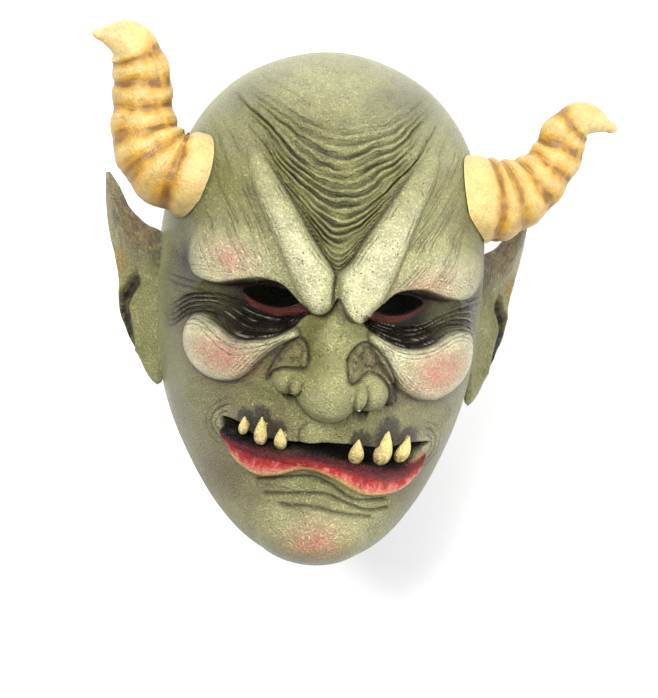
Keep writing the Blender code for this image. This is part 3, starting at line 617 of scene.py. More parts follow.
    def dab(self, patches):
        """Brush on soft patches, those of one row in a single stroke."""
        for paint, spots in patches:
            self.brush(paint, sum(strength * spot(self.x, self.y, *patch) for strength, *patch in spots))

    def paint(self):
        """The painted colour at each place."""
        self.colour = np.tile(SAGE, (len(self.x), 1))
        self.grain = noise(self.x / 2.1, self.y / 2.1, 31)
        self.dabs = noise(self.x / 5.5, self.y / 5.5, 32)
        self.paint_ground()
        self.paint_pads()
        self.paint_nose_and_chin()
        self.paint_gums()
        self.paint_lip()
        self.paint_eyes()
        return self.colour

    def paint_ground(self):
        """Mottled green skin, darker to the sides with darker paint and painted shade, with patches of olive,
        moss and earth.
        """
        x, y, grain, dabs = self.x, self.y, self.grain, self.dabs
        cloud = noise(x / 22, y / 22, 30)
        aside = np.abs(x)
        self.brush(PALE_SAGE, 0.16 + 0.25 * cloud + 0.18 * grain + 0.12 * dabs)
        self.brush(OLIVE, 0.45 * step(48, 66, aside) * step(-70, -30, y) * (0.8 + 0.4 * dabs))
        self.brush(EARTH, 0.30 * step(0.0, 0.8, noise(x / 11, y / 11, 38)) * (0.8 + 0.5 * grain))
        forehead = (0.58 * self.panel + 0.15 * self.folds) * step(88, 60, y)
        self.brush(OLIVE, forehead * (0.85 + 0.35 * dabs))
        self.brush(PALE_SAGE, 0.55 * self.panel * step(0.3, 1.0, self.folds) * (0.6 + 0.5 * grain))
        self.dab(OLIVE_PATCHES)
        # Painted highlight: the sheen on the top of the crown
        self.brush(PALE_SAGE, 0.70 * spot(x, y, (-4, 97), (42, 11)) * (0.75 + 0.4 * grain))
        self.brush(MOSS, 0.65 * spot(x, y, (30, 92), (22, 9)) + 0.4 * spot(x, y, (-50, 88), (16, 10)))
        # Darker paint and painted shade at the sides, where the head turns away from the light
        self.brush(MOSS, 0.70 * step(58, 80, aside) * step(10, 44, y) + 0.40 * step(58, 78, aside))
        self.dab(EARTH_PATCHES)
        self.brush(EARTH, 0.40 * spot(x, y, (-38, -92), (26, 9)) * (0.7 + 0.6 * dabs))

    def paint_pads(self):
        """Cream brow rolls, brow pads and cheek pouches with a blush on them, and painted shade along the
        pouches' lower rims.
        """
        x, y, grain, dabs = self.x, self.y, self.grain, self.dabs
        for depth in self.rolls:
            self.brush(CREAM, 0.92 * step(-0.5, 5.5, depth) * step(66, 26, y) * (0.88 + 0.16 * grain))
            self.brush(PALE_SAGE, 0.5 * step(0.3, 5.0, depth) * step(30, 60, y))
        outer = step(-1.0, -9.0, np.maximum(*self.rolls)) * step(8, 16, np.abs(x)) * step(60, 40, np.abs(x))
        self.brush(PALE_SAGE, 0.45 * outer * step(8, 16, y) * step(60, 30, y) * (0.8 + 0.5 * dabs))
        for depth in self.pouches:
            rim = np.exp(-((depth - 4.0) / 3.2) ** 2)
            self.brush(CREAM, 0.95 * rim + 0.60 * step(2, 8, depth))
            # Painted shade along the lower rims of the pouches
            self.brush(EARTH, 0.45 * np.exp(-((depth + 1.5) / 3.5) ** 2) * step(-14, -24, y))
        for place in ((-46, 11), (46, 9)):
            self.brush(CREAM, 0.90 * spot(x, y, place, (20, 13)) * step(0.0, 2.5, y - self.edge))
        for strength, place, radii in BLUSHES:
            self.brush(BLUSH, strength * spot(x, y, place, radii) * (0.85 + 0.35 * grain))

    def paint_nose_and_chin(self):
        """Pale ends of the nose and the chin with painted highlights on the nose's ball and wings, and the
        dark speckled folds beside the nose.
        """
        x, y, grain, dabs = self.x, self.y, self.grain, self.dabs
        # Pale paint with painted highlights on the nose's ball and wings
        self.dab(PALE_PAINT_AND_NOSE_HIGHLIGHTS)
        self.brush(BLUSH, 0.72 * spot(x, y, (-1, -112), (12, 9)) * (0.85 + 0.35 * grain))
        self.brush(EARTH, 0.62 * self.lobes * (0.75 + 0.45 * grain + 0.3 * dabs))
        self.brush(WASH, 0.75 * self.lobes * step(0.0, 0.6, noise(x / 1.3, y / 1.3, 37)))
        self.brush(WASH, self.dark * (0.88 + 0.25 * grain))

    def paint_gums(self):
        """Dark gums and stains round the teeth, and black round each tooth that is partly dark paint and
        partly painted shadow.
        """
        x, y, grain, dabs = self.x, self.y, self.grain, self.dabs
        over_gap = step(0.5, -0.5, self.gap)
        stained = np.maximum(spot(x, y, (-31, -57), (18, 8)), spot(x, y, (30, -58), (22, 9)))
        self.brush(UMBER, 0.45 * stained * over_gap * (0.7 + 0.6 * dabs))
        gums = np.maximum(spot(x, y, (-31, -61), (15, 4.5)), spot(x, y, (30, -63.5), (17, 5.5)))
        self.brush(GUM, 0.9 * gums * over_gap * (0.85 + 0.4 * grain))
        # Black round each tooth: partly dark paint, partly painted shadow along its edges
        for foot, tip, share in TEETH:
            away = line_distance(x, y, np.array((foot, tip))) / share + 1.3 * noise(x / 1.4, y / 1.4, 47)
            self.brush(BLACK, 0.80 * step(6.2, 3.8, away) * over_gap * (1 - self.on_lip))
        speckle = step(-9, -2, self.gap) * step(0.15, 0.65, noise(x / 1.6, y / 1.6, 46))
        speckled = np.maximum(spot(x, y, (-31, -56), (20, 8)), spot(x, y, (30, -57), (24, 9)))
        self.brush(WASH, 0.75 * speckle * speckled)
        for corner in ((-48, -61), (51, -68)):
            self.brush(CREAM, 0.35 * spot(x, y, corner, (5, 6)))

    def paint_lip(self):
        """The lower lip, from dark red at the gap over red and streaky pink to a cream edge."""
        across = np.clip(self.gap_side(), 0.0, 1.0)
        streaks = noise(self.x / 1.1, self.y / 6, 44)
        inside = self.on_lip
        self.brush(LIP_EDGE, inside)
        self.brush(LIP_PINK, inside * step(0.95, 0.80, across))
        self.brush(LIP_RED, inside * step(0.84 + 0.08 * streaks, 0.50 + 0.12 * streaks, across))
        streaky = step(0.22, 0.5, across) * step(0.95, 0.7, across) * step(-0.1, 0.6, streaks)
        self.brush(LIP_PINK, 0.70 * inside * streaky)
        self.brush(LIP_DARK, 0.95 * inside * step(0.50 + 0.08 * streaks, 0.12, across))
        rim = step(5.0 + 0.8 * streaks, 2.0, self.lip) * step(-4.0, -8.0, self.gap)
        self.brush(LIP_EDGE, 0.9 * inside * rim)
        self.brush(LIP_EDGE, 0.75 * step(-1.6, -0.2, self.lip) * (1 - inside) * step(-0.5, -2.0, self.gap))
        self.brush(BLACK, step(-0.8, 0.2, self.gap))

    def paint_eyes(self):
        """Black folds with painted grey highlights along their crests, red lids, and the dark wash in every
        furrow.
        """
        x, y = self.x, self.y
        self.brush(BLACK, self.shade)
        # Painted highlights along the crests of the folds
        self.brush(CREST_HIGHLIGHT_GREY, 0.60 * self.crest_highlights)
        for centre, _ in EYES:
            ring = np.hypot((x - centre[0]) / 14.6, (y - centre[1]) / 6.6)
            lower = step(1.5, -1.5, y - centre[1])
            self.brush(EYE_RED, step(1.24, 1.10, ring) * (0.10 + 0.90 * lower))
            side = 1 if centre[0] < 0 else -1
            corner = (centre[0] + side * 13.0, -3.2)
            self.brush(EYE_RED, 0.95 * spot(x, y, corner, (4.0, 1.7), -0.5 * side))
        self.brush(WASH, 0.92 * self.wash * (1 - 0.8 * self.on_lip))

    def shine(self):
        """Where the paint is glossy: the mouth, the lip and the folds under the eyes."""
        shine = np.clip(self.shade + step(-0.5, 0.5, self.gap), 0, 1)
        return np.maximum(shine, 0.75 * self.on_lip)

    def stipple(self):
        """How thickly the paint is flecked with dark."""
        x, y = self.x, self.y
        amount = 0.45 + 0.5 * step(40, 80, y) + 0.50 * spot(x, y, (0, -15), (14, 22))
        amount += 0.40 * np.maximum(step(0, 3, self.rolls[0]), step(0, 3, self.rolls[1]))
        amount += 0.5 * np.maximum(spot(x, y, (-30, -58), (20, 7)), spot(x, y, (28, -58), (26, 9)))
        amount += 0.3 * spot(x, y, (-20, 26), (12, 22)) + 0.6 * self.lobes
        amount *= 1 - 0.6 * np.maximum(step(3, 8, self.pouches[0]), step(3, 8, self.pouches[1]))
        return np.clip(amount, 0.0, 1.0)

    def gap_side(self):
        """Share of the way down the lower lip, 0 at the gap and 1 at its lower border."""
        x, y = self.x, self.y
        top, low = smooth_curve(LIP_TOP, x), smooth_curve(LIP_BORDER, x)
        return (top - y) / np.maximum(top - low, 2.0)


def relief(x, y):
    """Height of the main carving alone, as the solids have it."""
    return Face(x, y, fine=False).height


def around(x, y, reach):
    """The relief at each place and at eight places round it."""
    heights = [relief(x, y)]
    for k in range(8):
        angle = k * math.pi / 4
        heights.append(relief(x + reach * math.cos(angle), y + reach * math.sin(angle)))
    return np.stack(heights)


def lower_envelope(x, y):
    """The carving as felt from inside: the lowest of the relief close by."""
    return around(x, y, ENVELOPE_REACH).min(axis=0)


def head_point(height, turn, raised_by):
    """Points of the head at heights y and turns from the front, moved out by raised_by(x, y, front)."""
    level = np.sqrt(np.clip(1.0 - ((height - MIDDLE) / HALF_HEIGHT) ** 2, 0.0, 1.0))
    half = level * smooth_curve(WIDTH_CURVE, height)
    centre = smooth_curve(CENTRE_CURVE, height)
    forward = np.cos(turn) >= 0
    reach = level * np.where(forward, smooth_curve(FRONT_CURVE, height), smooth_curve(BACK_CURVE, height))
    x = half * np.sin(turn)
    z = centre + reach * np.cos(turn)
    out_x = np.sin(turn) / np.maximum(half, 12.0)
    out_z = np.cos(turn) / np.maximum(reach, 12.0)
    out_y = (height - MIDDLE) / HALF_HEIGHT ** 2 * 1.1
    length = np.sqrt(out_x ** 2 + out_y ** 2 + out_z ** 2) + 1e-12
    raised = raised_by(x, height, step(0.05, 0.35, np.cos(turn)))
    offset = np.stack((raised * out_x, raised * out_y, raised * out_z), -1) / length[:, None]
    return np.stack((x, height, z), -1) + offset


def ring_heights(rings):
    """Heights of the head's rings, closest together over the eyes and the mouth."""
    heights = np.linspace(NECK_END, CROWN, 600)
    closeness = 1.0 + 1.1 * step(-104, -92, heights) * step(20, 6, heights)
    closeness += 0.9 * step(98, 80, heights) * step(0, 20, heights)
    flare = 1.0 / np.sqrt(np.clip(1.0 - ((heights - MIDDLE) / HALF_HEIGHT) ** 2, 0.02, 1.0))
    total = np.cumsum(closeness * np.maximum(flare * 0.55, 1.0))
    total = (total - total[0]) / (total[-1] - total[0])
    return np.interp(np.linspace(0.0, 1.0, rings + 1), total, heights)


def find_rest():
    """Place of the flat on the back of the head, for the wanted width of the flat."""
    heights = np.linspace(-60, 60, 481)
    back = head_point(heights, np.full(heights.shape, math.pi), lambda x, y, front: 0.0 * x)
    lowest = back[:, 2].argmin()
    reach = REST_FLAT_WIDTH / 2 / UNIT
    edges = np.interp((back[lowest, 1] - reach, back[lowest, 1] + reach), back[:, 1], back[:, 2])
    return back[lowest, 1], float(edges.mean())


REST_HEIGHT, REST_DEPTH = find_rest()


def to_row(points):
    """Points in the sculptor's units as metres in the row frame."""
    return (np.asarray(points, dtype=float) - (0.0, REST_HEIGHT, REST_DEPTH)) * UNIT


def get_points(thing):
    """An object's vertices as an array."""
    flat = np.zeros(len(thing.data.vertices) * 3)
    thing.data.vertices.foreach_get("co", flat)
    return flat.reshape(-1, 3)


def set_points(thing, points):
    """Move an object's vertices to new places and make its faces look outward."""
    thing.data.vertices.foreach_set("co", np.asarray(points, dtype=np.float32).ravel())
    shape = bmesh.new()
    shape.from_mesh(thing.data)
    bmesh.ops.recalc_face_normals(shape, faces=shape.faces)
    if shape.calc_volume(signed=True) < 0:
        bmesh.ops.reverse_faces(shape, faces=shape.faces)
    shape.to_mesh(thing.data)
    shape.free()
    thing.data.update()


def ball(name, columns, rings):
    """A unit ball to be carved, its poles up and down."""
    latitude = (np.arange(1, rings) / rings - 0.5) * math.pi
    longitude = np.arange(columns) * 2 * math.pi / columns
    low, turn = np.meshgrid(latitude, longitude, indexing="ij")
    middle = np.stack((np.cos(low) * np.cos(turn), np.cos(low) * np.sin(turn), np.sin(low)), -1)
    middle = middle.reshape(-1, 3)
    points = np.vstack((middle, ((0.0, 0.0, -1.0), (0.0, 0.0, 1.0))))
    south, north = len(middle), len(middle) + 1
    ring, column = np.meshgrid(np.arange(rings - 2), np.arange(columns), indexing="ij")
    beside = (column + 1) % columns
    quads = np.stack((ring * columns + column, ring * columns + beside, (ring + 1) * columns + beside,
                      (ring + 1) * columns + column), -1).reshape(-1, 4)
    faces = quads.tolist()
    last = (rings - 2) * columns
    for k in range(columns):
        following = (k + 1) % columns
        faces.append((south, following, k))
        faces.append((north, last + k, last + following))
    mesh = bpy.data.meshes.new(name)
    mesh.from_pydata(points, [], faces)
    thing = bpy.data.objects.new(name, mesh)
    bpy.context.scene.collection.objects.link(thing)
    return thing


def apply_modifiers(thing):
    """Bake an object's modifiers into its mesh."""
    graph = bpy.context.evaluated_depsgraph_get()
    mesh = bpy.data.meshes.new_from_object(thing.evaluated_get(graph))
    thing.modifiers.clear()
    old = thing.data
    thing.data = mesh
    bpy.data.meshes.remove(old)


def combine(thing, tool, operation):
    """Join a tool to an object or cut it out, and remove the tool."""
    boolean = thing.modifiers.new(tool.name, "BOOLEAN")
    boolean.solver = "MANIFOLD"
    boolean.operation = operation
    boolean.object = tool
    apply_modifiers(thing)
    bpy.data.objects.remove(tool, do_unlink=True)


def ball_places(thing, rings):
    """Heights and turns on the head for the vertices of a ball."""
    unit_ball = get_points(thing)
    latitude = np.arcsin(np.clip(unit_ball[:, 2], -1.0, 1.0))
    height = np.interp((latitude / math.pi + 0.5) * rings, np.arange(rings + 1), ring_heights(rings))
    turn = np.arctan2(unit_ball[:, 0], -unit_ball[:, 1])
    return height, turn - FRONT_CROWDING * np.sin(turn)


def prism(name, outline, front, back, axis_order):
    """A flat outline made solid between two levels along the third axis."""
    shape = bmesh.new()
    ends = []
    for level in (front, back):
        ring = []
        for a, b in outline:
            values = {axis_order[0]: a, axis_order[1]: b, axis_order[2]: level}
            ring.append(shape.verts.new(to_row((values["x"], values["y"], values["z"]))))
        ends.append(ring)
    shape.faces.new(ends[0])
    shape.faces.new(list(reversed(ends[1])))
    count = len(outline)
    for i in range(count):
        j = (i + 1) % count
        shape.faces.new((ends[0][i], ends[1][i], ends[1][j], ends[0][j]))
    bmesh.ops.recalc_face_normals(shape, faces=shape.faces)
    bmesh.ops.triangulate(shape, faces=shape.faces)
    mesh = bpy.data.meshes.new(name)
    shape.to_mesh(mesh)
    shape.free()
    thing = bpy.data.objects.new(name, mesh)
    bpy.context.scene.collection.objects.link(thing)
    return thing


def neck_cutter():
    """All that lies below the jaw line and the nape."""
    line = smooth_line(JAW_LINE, 8)
    outline = [tuple(point) for point in line] + list(NECK_CUT_CORNERS)
    return prism("neck_cutter", outline, -NECK_CUT_SIDE, NECK_CUT_SIDE, "zyx")


def eye_cutter(name, place, turn):
    """A lens-shaped hole through the eye socket."""
    outline = []
    for k in range(48):
        angle = 2 * math.pi * k / 48
        along = EYE_HOLE_WIDTH / 2 / UNIT * math.cos(angle)
        across = EYE_HOLE_HEIGHT / 2 / UNIT * math.sin(angle) * (0.55 + 0.45 * abs(math.sin(angle)))
        outline.append((place[0] + along * math.cos(turn) - across * math.sin(turn),
                        place[1] + along * math.sin(turn) + across * math.cos(turn)))
    return prism(name, outline, EYE_CUT_BACK, EYE_CUT_FRONT, "xyz")


def nostril_cutter(name, place):
    """A small round hole that runs up into the nose from under its wing."""
    bpy.ops.mesh.primitive_cylinder_add(vertices=32, radius=NOSTRIL_WIDTH / 2, depth=NOSTRIL_DEPTH)
    thing = bpy.context.object
    thing.name = name
    centre = Vector(to_row((place[0], place[1], plain_depth(place[0], place[1]))))
    thing.matrix_world = Matrix.Translation(centre) @ Matrix.Rotation(NOSTRIL_TILT, 4, "X")
    return thing


def ear(name, side, lean):
    """One pointed ear: a rimmed plate with a hollow, set at the side of the head."""
    thing = ball(name, EAR_COLUMNS, EAR_RINGS)
    unit_ball = get_points(thing)
    outline = smooth_line(EAR_OUTLINE, 8, closed=True) - EAR_CENTRE
    bearing = np.arctan2(outline[:, 1], outline[:, 0])
    order = bearing.argsort()
    reach = np.hypot(outline[:, 0], outline[:, 1])[order]
    turn = np.arctan2(unit_ball[:, 1], unit_ball[:, 0])
    radius = np.interp(turn, bearing[order], reach, period=2 * math.pi)
    share = np.hypot(unit_ball[:, 0], unit_ball[:, 1])
    share = np.sin(share * math.pi / 2) ** 0.9
    away = EAR_CENTRE[0] + share * radius * np.cos(turn)
    up = EAR_CENTRE[1] + share * radius * np.sin(turn)
    front = unit_ball[:, 2] > 0
    rim = np.sqrt(np.clip(1.0 - share ** 4, 0.0, 1.0))
    thick = EAR_THICKNESS / 2 / UNIT * np.sign(unit_ball[:, 2]) * rim
    slit = line_distance(away, up, smooth_line(EAR_SLIT, 4))
    hollow = 1.6 * step(0.90, 0.65, share) * step(6, -4, up) + 2.6 * step(4.0, 0.5, slit)
    spike = 2.6 * np.exp(-(line_distance(away, up, smooth_line(EAR_SPIKE, 4)) / 6.0) ** 2) * step(-8, 8, up)
    lobes = 0.8 * np.exp(-((slit - 5.0) / 1.6) ** 2) * step(6, -4, up)
    proud = thick + np.where(front, spike + lobes - hollow, 0.0) - 0.06 * (up - 10.0)
    proud += 0.25 * noise(away / 3, up / 5, 40)
    x = side * (79 + away * math.cos(lean) + proud * math.sin(lean))
    z = -80 - away * math.sin(lean) + proud * math.cos(lean)
    set_points(thing, to_row(np.stack((x, up, z), -1)))
    return thing


def plain_depth(x, y):
    """How far forward the uncarved face reaches at a place of the front."""
    level = math.sqrt(1.0 - ((y - MIDDLE) / HALF_HEIGHT) ** 2)
    half = level * float(smooth_curve(WIDTH_CURVE, np.array([y]))[0])
    reach = level * float(smooth_curve(FRONT_CURVE, np.array([y]))[0])
    centre = float(smooth_curve(CENTRE_CURVE, np.array([y]))[0])
    return centre + reach * math.sqrt(1.0 - (x / half) ** 2)


def surface_depth(x, y):
    """How far forward the carved face reaches at a place of the front."""
    return plain_depth(x, y) + float(relief(np.array([x]), np.array([y]))[0])


def tooth(name, foot, tip, share):
    """One tusk-like tooth, from the lower lip up over the upper one."""
    thing = ball(name, TOOTH_COLUMNS, TOOTH_RINGS)
    unit_ball = get_points(thing)
    t = (unit_ball[:, 2] + 1.0) / 2
    width = TOOTH_WIDTH / UNIT * share / 2
    start = np.array((foot[0], foot[1], plain_depth(foot[0], foot[1]) + TOOTH_STAND))
    end = np.array((tip[0], tip[1], surface_depth(tip[0], tip[1]) + TOOTH_LEAN))
    axis = start + (end - start) * t[:, None]
    taper = (1.0 - 0.75 * t ** 1.5)[:, None]
    around_axis = np.stack((unit_ball[:, 0], np.zeros(len(unit_ball)), -unit_ball[:, 1] * 1.1), -1)
    spread = around_axis * width * taper * 1.1
    set_points(thing, to_row(axis + spread))
    return thing


def paint_layer(thing, name, colours):
    """Store painted colours on an object's vertices."""
    layer = thing.data.color_attributes.new(name, "FLOAT_COLOR", "POINT")
    values = np.ones((len(thing.data.vertices), 4))
    values[:, :3] = colours
    layer.data.foreach_set("color", values.ravel())


def number_layer(thing, name, numbers):
    """Store one number on each of an object's vertices."""
    layer = thing.data.attributes.new(name, "FLOAT", "POINT")
    layer.data.foreach_set("value", np.asarray(numbers, dtype=np.float32))


def mask_skin():
    """The hollow head with its ears and teeth, open at the eyes, nostrils and neck."""
    skin = ball("latex_skin", HEAD_COLUMNS, HEAD_RINGS)
    height, turn = ball_places(skin, HEAD_RINGS)
    kept = []

    def fine_relief(x, y, front):
        kept.append(x)
        return Face(x, y, fine=True).height * front

    points = to_row(head_point(height, turn, fine_relief))
    set_points(skin, points)
    places = np.stack((kept[0], height, step(0.05, 0.35, np.cos(turn))), -1)
    thinning = skin.modifiers.new("thinning", "DECIMATE")
    thinning.ratio = HEAD_TRIANGLES / (2 * HEAD_COLUMNS * (HEAD_RINGS - 1))
    thinning.use_collapse_triangulate = True
    apply_modifiers(skin)
    ears = [ear("ear_left", -1, LEFT_EAR_TURN), ear("ear_right", 1, RIGHT_EAR_TURN)]
    ear_tops = [get_points(thing) for thing in ears]
    for thing in ears:
        combine(skin, thing, "UNION")
    teeth = [tooth(f"tooth_{number}", *values) for number, values in enumerate(TEETH, start=1)]
    tooth_tops = np.concatenate([get_points(thing) for thing in teeth])
    for thing in teeth:
        combine(skin, thing, "UNION")
    bpy.ops.mesh.primitive_cube_add(size=GROUND_BLOCK, location=(0, 0, -GROUND_BLOCK / 2))
    combine(skin, bpy.context.object, "DIFFERENCE")
    cavity = ball("cavity", CAVITY_COLUMNS, CAVITY_RINGS)
    inner_places = ball_places(cavity, CAVITY_RINGS)
    wall = SKIN_WALL / UNIT
    inner = to_row(head_point(*inner_places, lambda x, y, face_on: lower_envelope(x, y) * face_on - wall))
    inner[:, 2] = np.maximum(inner[:, 2], SKIN_WALL)
    set_points(cavity, inner)
    combine(skin, cavity, "DIFFERENCE")
    combine(skin, neck_cutter(), "DIFFERENCE")
    for name, (place, lean) in zip(("eye_left", "eye_right"), EYES):
        combine(skin, eye_cutter(name, place, lean), "DIFFERENCE")
    for name, place in zip(("nostril_left", "nostril_right"), NOSTRILS):
        combine(skin, nostril_cutter(name, place), "DIFFERENCE")
    paint_skin(skin, points, places, ear_tops, tooth_tops)
    return skin


def near(tree, points):
    """Index of the nearest kept point and the distance to it, for each point."""
    index = np.zeros(len(points), dtype=int)
    away = np.zeros(len(points))
    for i, point in enumerate(points):
        found = tree.find(point)
        index[i], away[i] = found[1], found[2]
    return index, away


def carry(tree, points, values):
    """Values at new points, blended from the four nearest kept ones, and the distance to the nearest."""
    carried = np.zeros((len(points), values.shape[1]))
    away = np.zeros(len(points))
    for i, point in enumerate(points):
        found = tree.find_n(point, 4)
        weights = np.array([1.0 / (entry[2] ** 2 + 1e-12) for entry in found])
        carried[i] = weights @ values[[entry[1] for entry in found]] / weights.sum()
        away[i] = found[0][2]
    return carried, away


def make_tree(points):
    """A search tree over points."""
    tree = KDTree(len(points))
    for i, point in enumerate(points):
        tree.insert(point, i)
    tree.balance()
    return tree


def paint_skin(skin, points, places, ear_tops, tooth_tops):
    """Paint the finished skin: the face, the ears, the teeth and the inside."""
    final = get_points(skin)
    carried, away = carry(make_tree(points), final, places)
    face = Face(carried[:, 0], carried[:, 1], fine=True)
    front = carried[:, 2]
    plain = SAGE * 0.75 + PALE_SAGE * 0.25
    colours = plain + (face.paint() - plain) * front[:, None]
    shine = face.shine() * front
    stipple = 0.35 + (face.stipple() - 0.35) * front
    strengths = [strength * front for _, strength in face.lines]
    inside = step(INSIDE_FROM, INSIDE_FULL, away)
    colours = colours * (1 - inside[:, None]) + INSIDE * inside[:, None]
    unit = final / UNIT + (0.0, REST_HEIGHT, REST_DEPTH)
    hidden = inside.copy()
    for top, side, lean in zip(ear_tops, (-1, 1), (LEFT_EAR_TURN, RIGHT_EAR_TURN)):
        _, ear_away = near(make_tree(top), final)
        on_ear = (ear_away < ON_SURFACE) & (ear_away < away)
        colours[on_ear] = ear_colour(unit[on_ear], side, lean)
        shine[on_ear], stipple[on_ear], hidden[on_ear] = 0.15, 0.9, 1.0
    _, tooth_away = near(make_tree(tooth_tops), final)
    on_tooth = (tooth_away < ON_SURFACE) & (tooth_away < away)
    colours[on_tooth] = tooth_colour(unit)[on_tooth]
    shine[on_tooth], stipple[on_tooth], hidden[on_tooth] = 0.8, 0.35, 1.0
    paint_layer(skin, "paint", colours)
    number_layer(skin, "gloss", shine * (1 - inside))
    number_layer(skin, "stipple", stipple * (1 - inside))
    for number, (phase, _) in enumerate(face.lines):
        number_layer(skin, f"line_phase_{number}", phase)
        number_layer(skin, f"line_depth_{number}", strengths[number] * (1 - hidden))


def ear_colour(unit, side, lean):
    """The ear's paint: grey green, brown and speckled up the spike, dark in the slit, ochre beside it."""
    x, up, z = unit.T
    outward, back = side * x - 79, z + 80
    away = outward * math.cos(lean) - back * math.sin(lean)
    proud = outward * math.sin(lean) + back * math.cos(lean)
    grain = noise(up / 1.6, away / 1.4, 50)
    colours = np.tile(PALE_SAGE * 0.75 + OLIVE * 0.15, (len(x), 1))
    front = step(-2.5, 0.0, proud + 0.06 * (up - 10))
    slit = line_distance(away, up, smooth_line(EAR_SLIT, 4))
    speckle = step(0.15, 0.6, noise(up / 1.1, away / 1.1, 51))
    spike = step(-6, 8, up) * step(40, 18, up)
    for paint, amount in ((OLIVE, 0.5 * step(10, -10, up)), (EAR_TAN, step(-4, 26, up) * 0.8),
                          (EAR_BROWN, spike * step(24, 10, away - 0.4 * up) * 0.8),
                          (WASH, 0.6 * speckle * step(-8, 6, up)),
                          (MOSS, 0.75 * step(9, 1, away) * step(30, 6, up) * step(-16, 0, up)),
                          (EAR_OCHRE, 0.7 * spot(away, up, (25, -4), (5, 6)) * front),
                          (UMBER, 0.8 * step(6.0, 2.2, slit) * front),
                          (BLACK, 0.98 * step(3.2, 1.7, slit) * front)):
        share = np.clip(amount * (0.85 + 0.35 * grain), 0, 1)[:, None]
        colours = colours * (1 - share) + paint * share
    return colours


def tooth_colour(unit):
    """Cream teeth with brown mottled feet."""
    x, y, _ = unit.T
    line = smooth_curve(TOOTH_FEET, x)
    grain = noise(x / 1.1, y / 1.1, 60)
    root = (step(4.5, 0.0, y - line) * (0.45 + 0.7 * grain))[:, None]
    return TOOTH_CREAM * (1 - np.clip(root, 0, 1)) + TOOTH_ROOT * np.clip(root, 0, 1)


def horn(name, line, widths):
    """One ringed horn swept along its middle line."""
    path = smooth_line(line, 16)
    steps = np.linalg.norm(np.diff(path, axis=0), axis=1)
    travel = np.concatenate(([0.0], np.cumsum(steps))) / steps.sum()
    width_points = tuple(zip(np.linspace(0.0, 1.0, len(widths)), widths))
    thing = ball(name, HORN_COLUMNS, HORN_RINGS)
    unit_ball = get_points(thing)
    latitude = np.arcsin(np.clip(unit_ball[:, 2], -1.0, 1.0)) / math.pi + 0.5
    place = np.clip(latitude * 1.02 - 0.01, 0.0, 1.0)
    centre = np.stack([np.interp(place, travel, path[:, k]) for k in range(3)], -1)
    ahead = np.stack([np.interp(np.clip(place + 0.02, 0, 1), travel, path[:, k]) for k in range(3)], -1)
    behind = np.stack([np.interp(np.clip(place - 0.02, 0, 1), travel, path[:, k]) for k in range(3)], -1)
    tangent = ahead - behind
    tangent /= np.linalg.norm(tangent, axis=1)[:, None]
    first = np.cross((0.0, 0.0, 1.0), tangent)
    first /= np.linalg.norm(first, axis=1)[:, None]
    second = np.cross(tangent, first)
    radius = HORN_BASE_WIDTH / UNIT / 2 * smooth_curve(width_points, place)
    cap = np.sqrt(np.clip((1.0 - place) / 0.03, 0.0, 1.0)) * np.sqrt(np.clip(place / 0.01, 0.0, 1.0))
    radius = np.maximum(radius, HORN_TIP_WIDTH / UNIT / 2) * cap
    turn = np.arctan2(unit_ball[:, 1], unit_ball[:, 0])
    around_x, around_y = np.cos(turn), np.sin(turn)
    wobble = 0.012 * noise(around_x * 1.5 + 4, around_y * 1.5 + place * 9, 70)
    phase = (place + wobble - RINGS_START) / (RINGS_END - RINGS_START) * (HORN_RIDGES - 1)
    ring = 0.5 + 0.5 * np.cos(2 * math.pi * phase)
    ringed = step(RINGS_START - RING_FADE, RINGS_START, place)
    ringed = ringed * step(RINGS_END + RING_FADE, RINGS_END, place)
    small = noise(place * 90, around_x * 2 + around_y, 71)
    radius = radius * (1.0 - RING_DEPTH * ring * ringed - RING_UNEVENNESS * small * ringed)
    points = centre + radius[:, None] * (around_x[:, None] * first + around_y[:, None] * second)
    set_points(thing, to_row(points))
    grain = noise(place * 60, around_x * 3 + 2 * around_y, 72)
    streak = noise(place * 25, around_x * 6 + around_y * 5, 73)
    colours = np.tile(HORN_CREAM, (len(unit_ball), 1))
    bands = step(0.10, 0.75, ring + 0.22 * streak) * ringed
    for paint, amount in ((HORN_OCHRE, 0.55 * ringed * (0.75 + 0.5 * streak) + 0.75 * bands),
                          (HORN_BROWN, step(0.62, 1.05, ring + 0.2 * streak) * ringed * (0.75 + 0.5 * grain)),
                          (HORN_TIP, step(0.84, 0.93, place))):
        share = np.clip(amount, 0, 1)[:, None]
        colours = colours * (1 - share) + paint * share
    return thing, make_tree(to_row(points)), colours


def horns():
    """Both horns, cut to sit on the skin with the glue's gap."""
    made = []
    lines, widths = (LEFT_HORN_LINE, RIGHT_HORN_LINE), (LEFT_HORN_WIDTHS, RIGHT_HORN_WIDTHS)
    for side, line, width in zip(("left", "right"), lines, widths):
        thing, tree, colours = horn(f"ringed_horn_{side}", line, width)
        foot = ball("horn_foot", FOOT_COLUMNS, FOOT_RINGS)
        places = ball_places(foot, FOOT_RINGS)
        gap = GLUE_GAP / UNIT
        outer = head_point(*places, lambda x, y, front: around(x, y, FOOT_REACH).max(axis=0) * front + gap)
        set_points(foot, to_row(outer))
        combine(thing, foot, "DIFFERENCE")
        index, _ = near(tree, get_points(thing))
        paint_layer(thing, "paint", colours[index])
        number_layer(thing, "gloss", np.full(len(index), 0.3))
        number_layer(thing, "stipple", np.full(len(index), 0.25))
        made.append((thing, f"horn_{side}"))
    return made


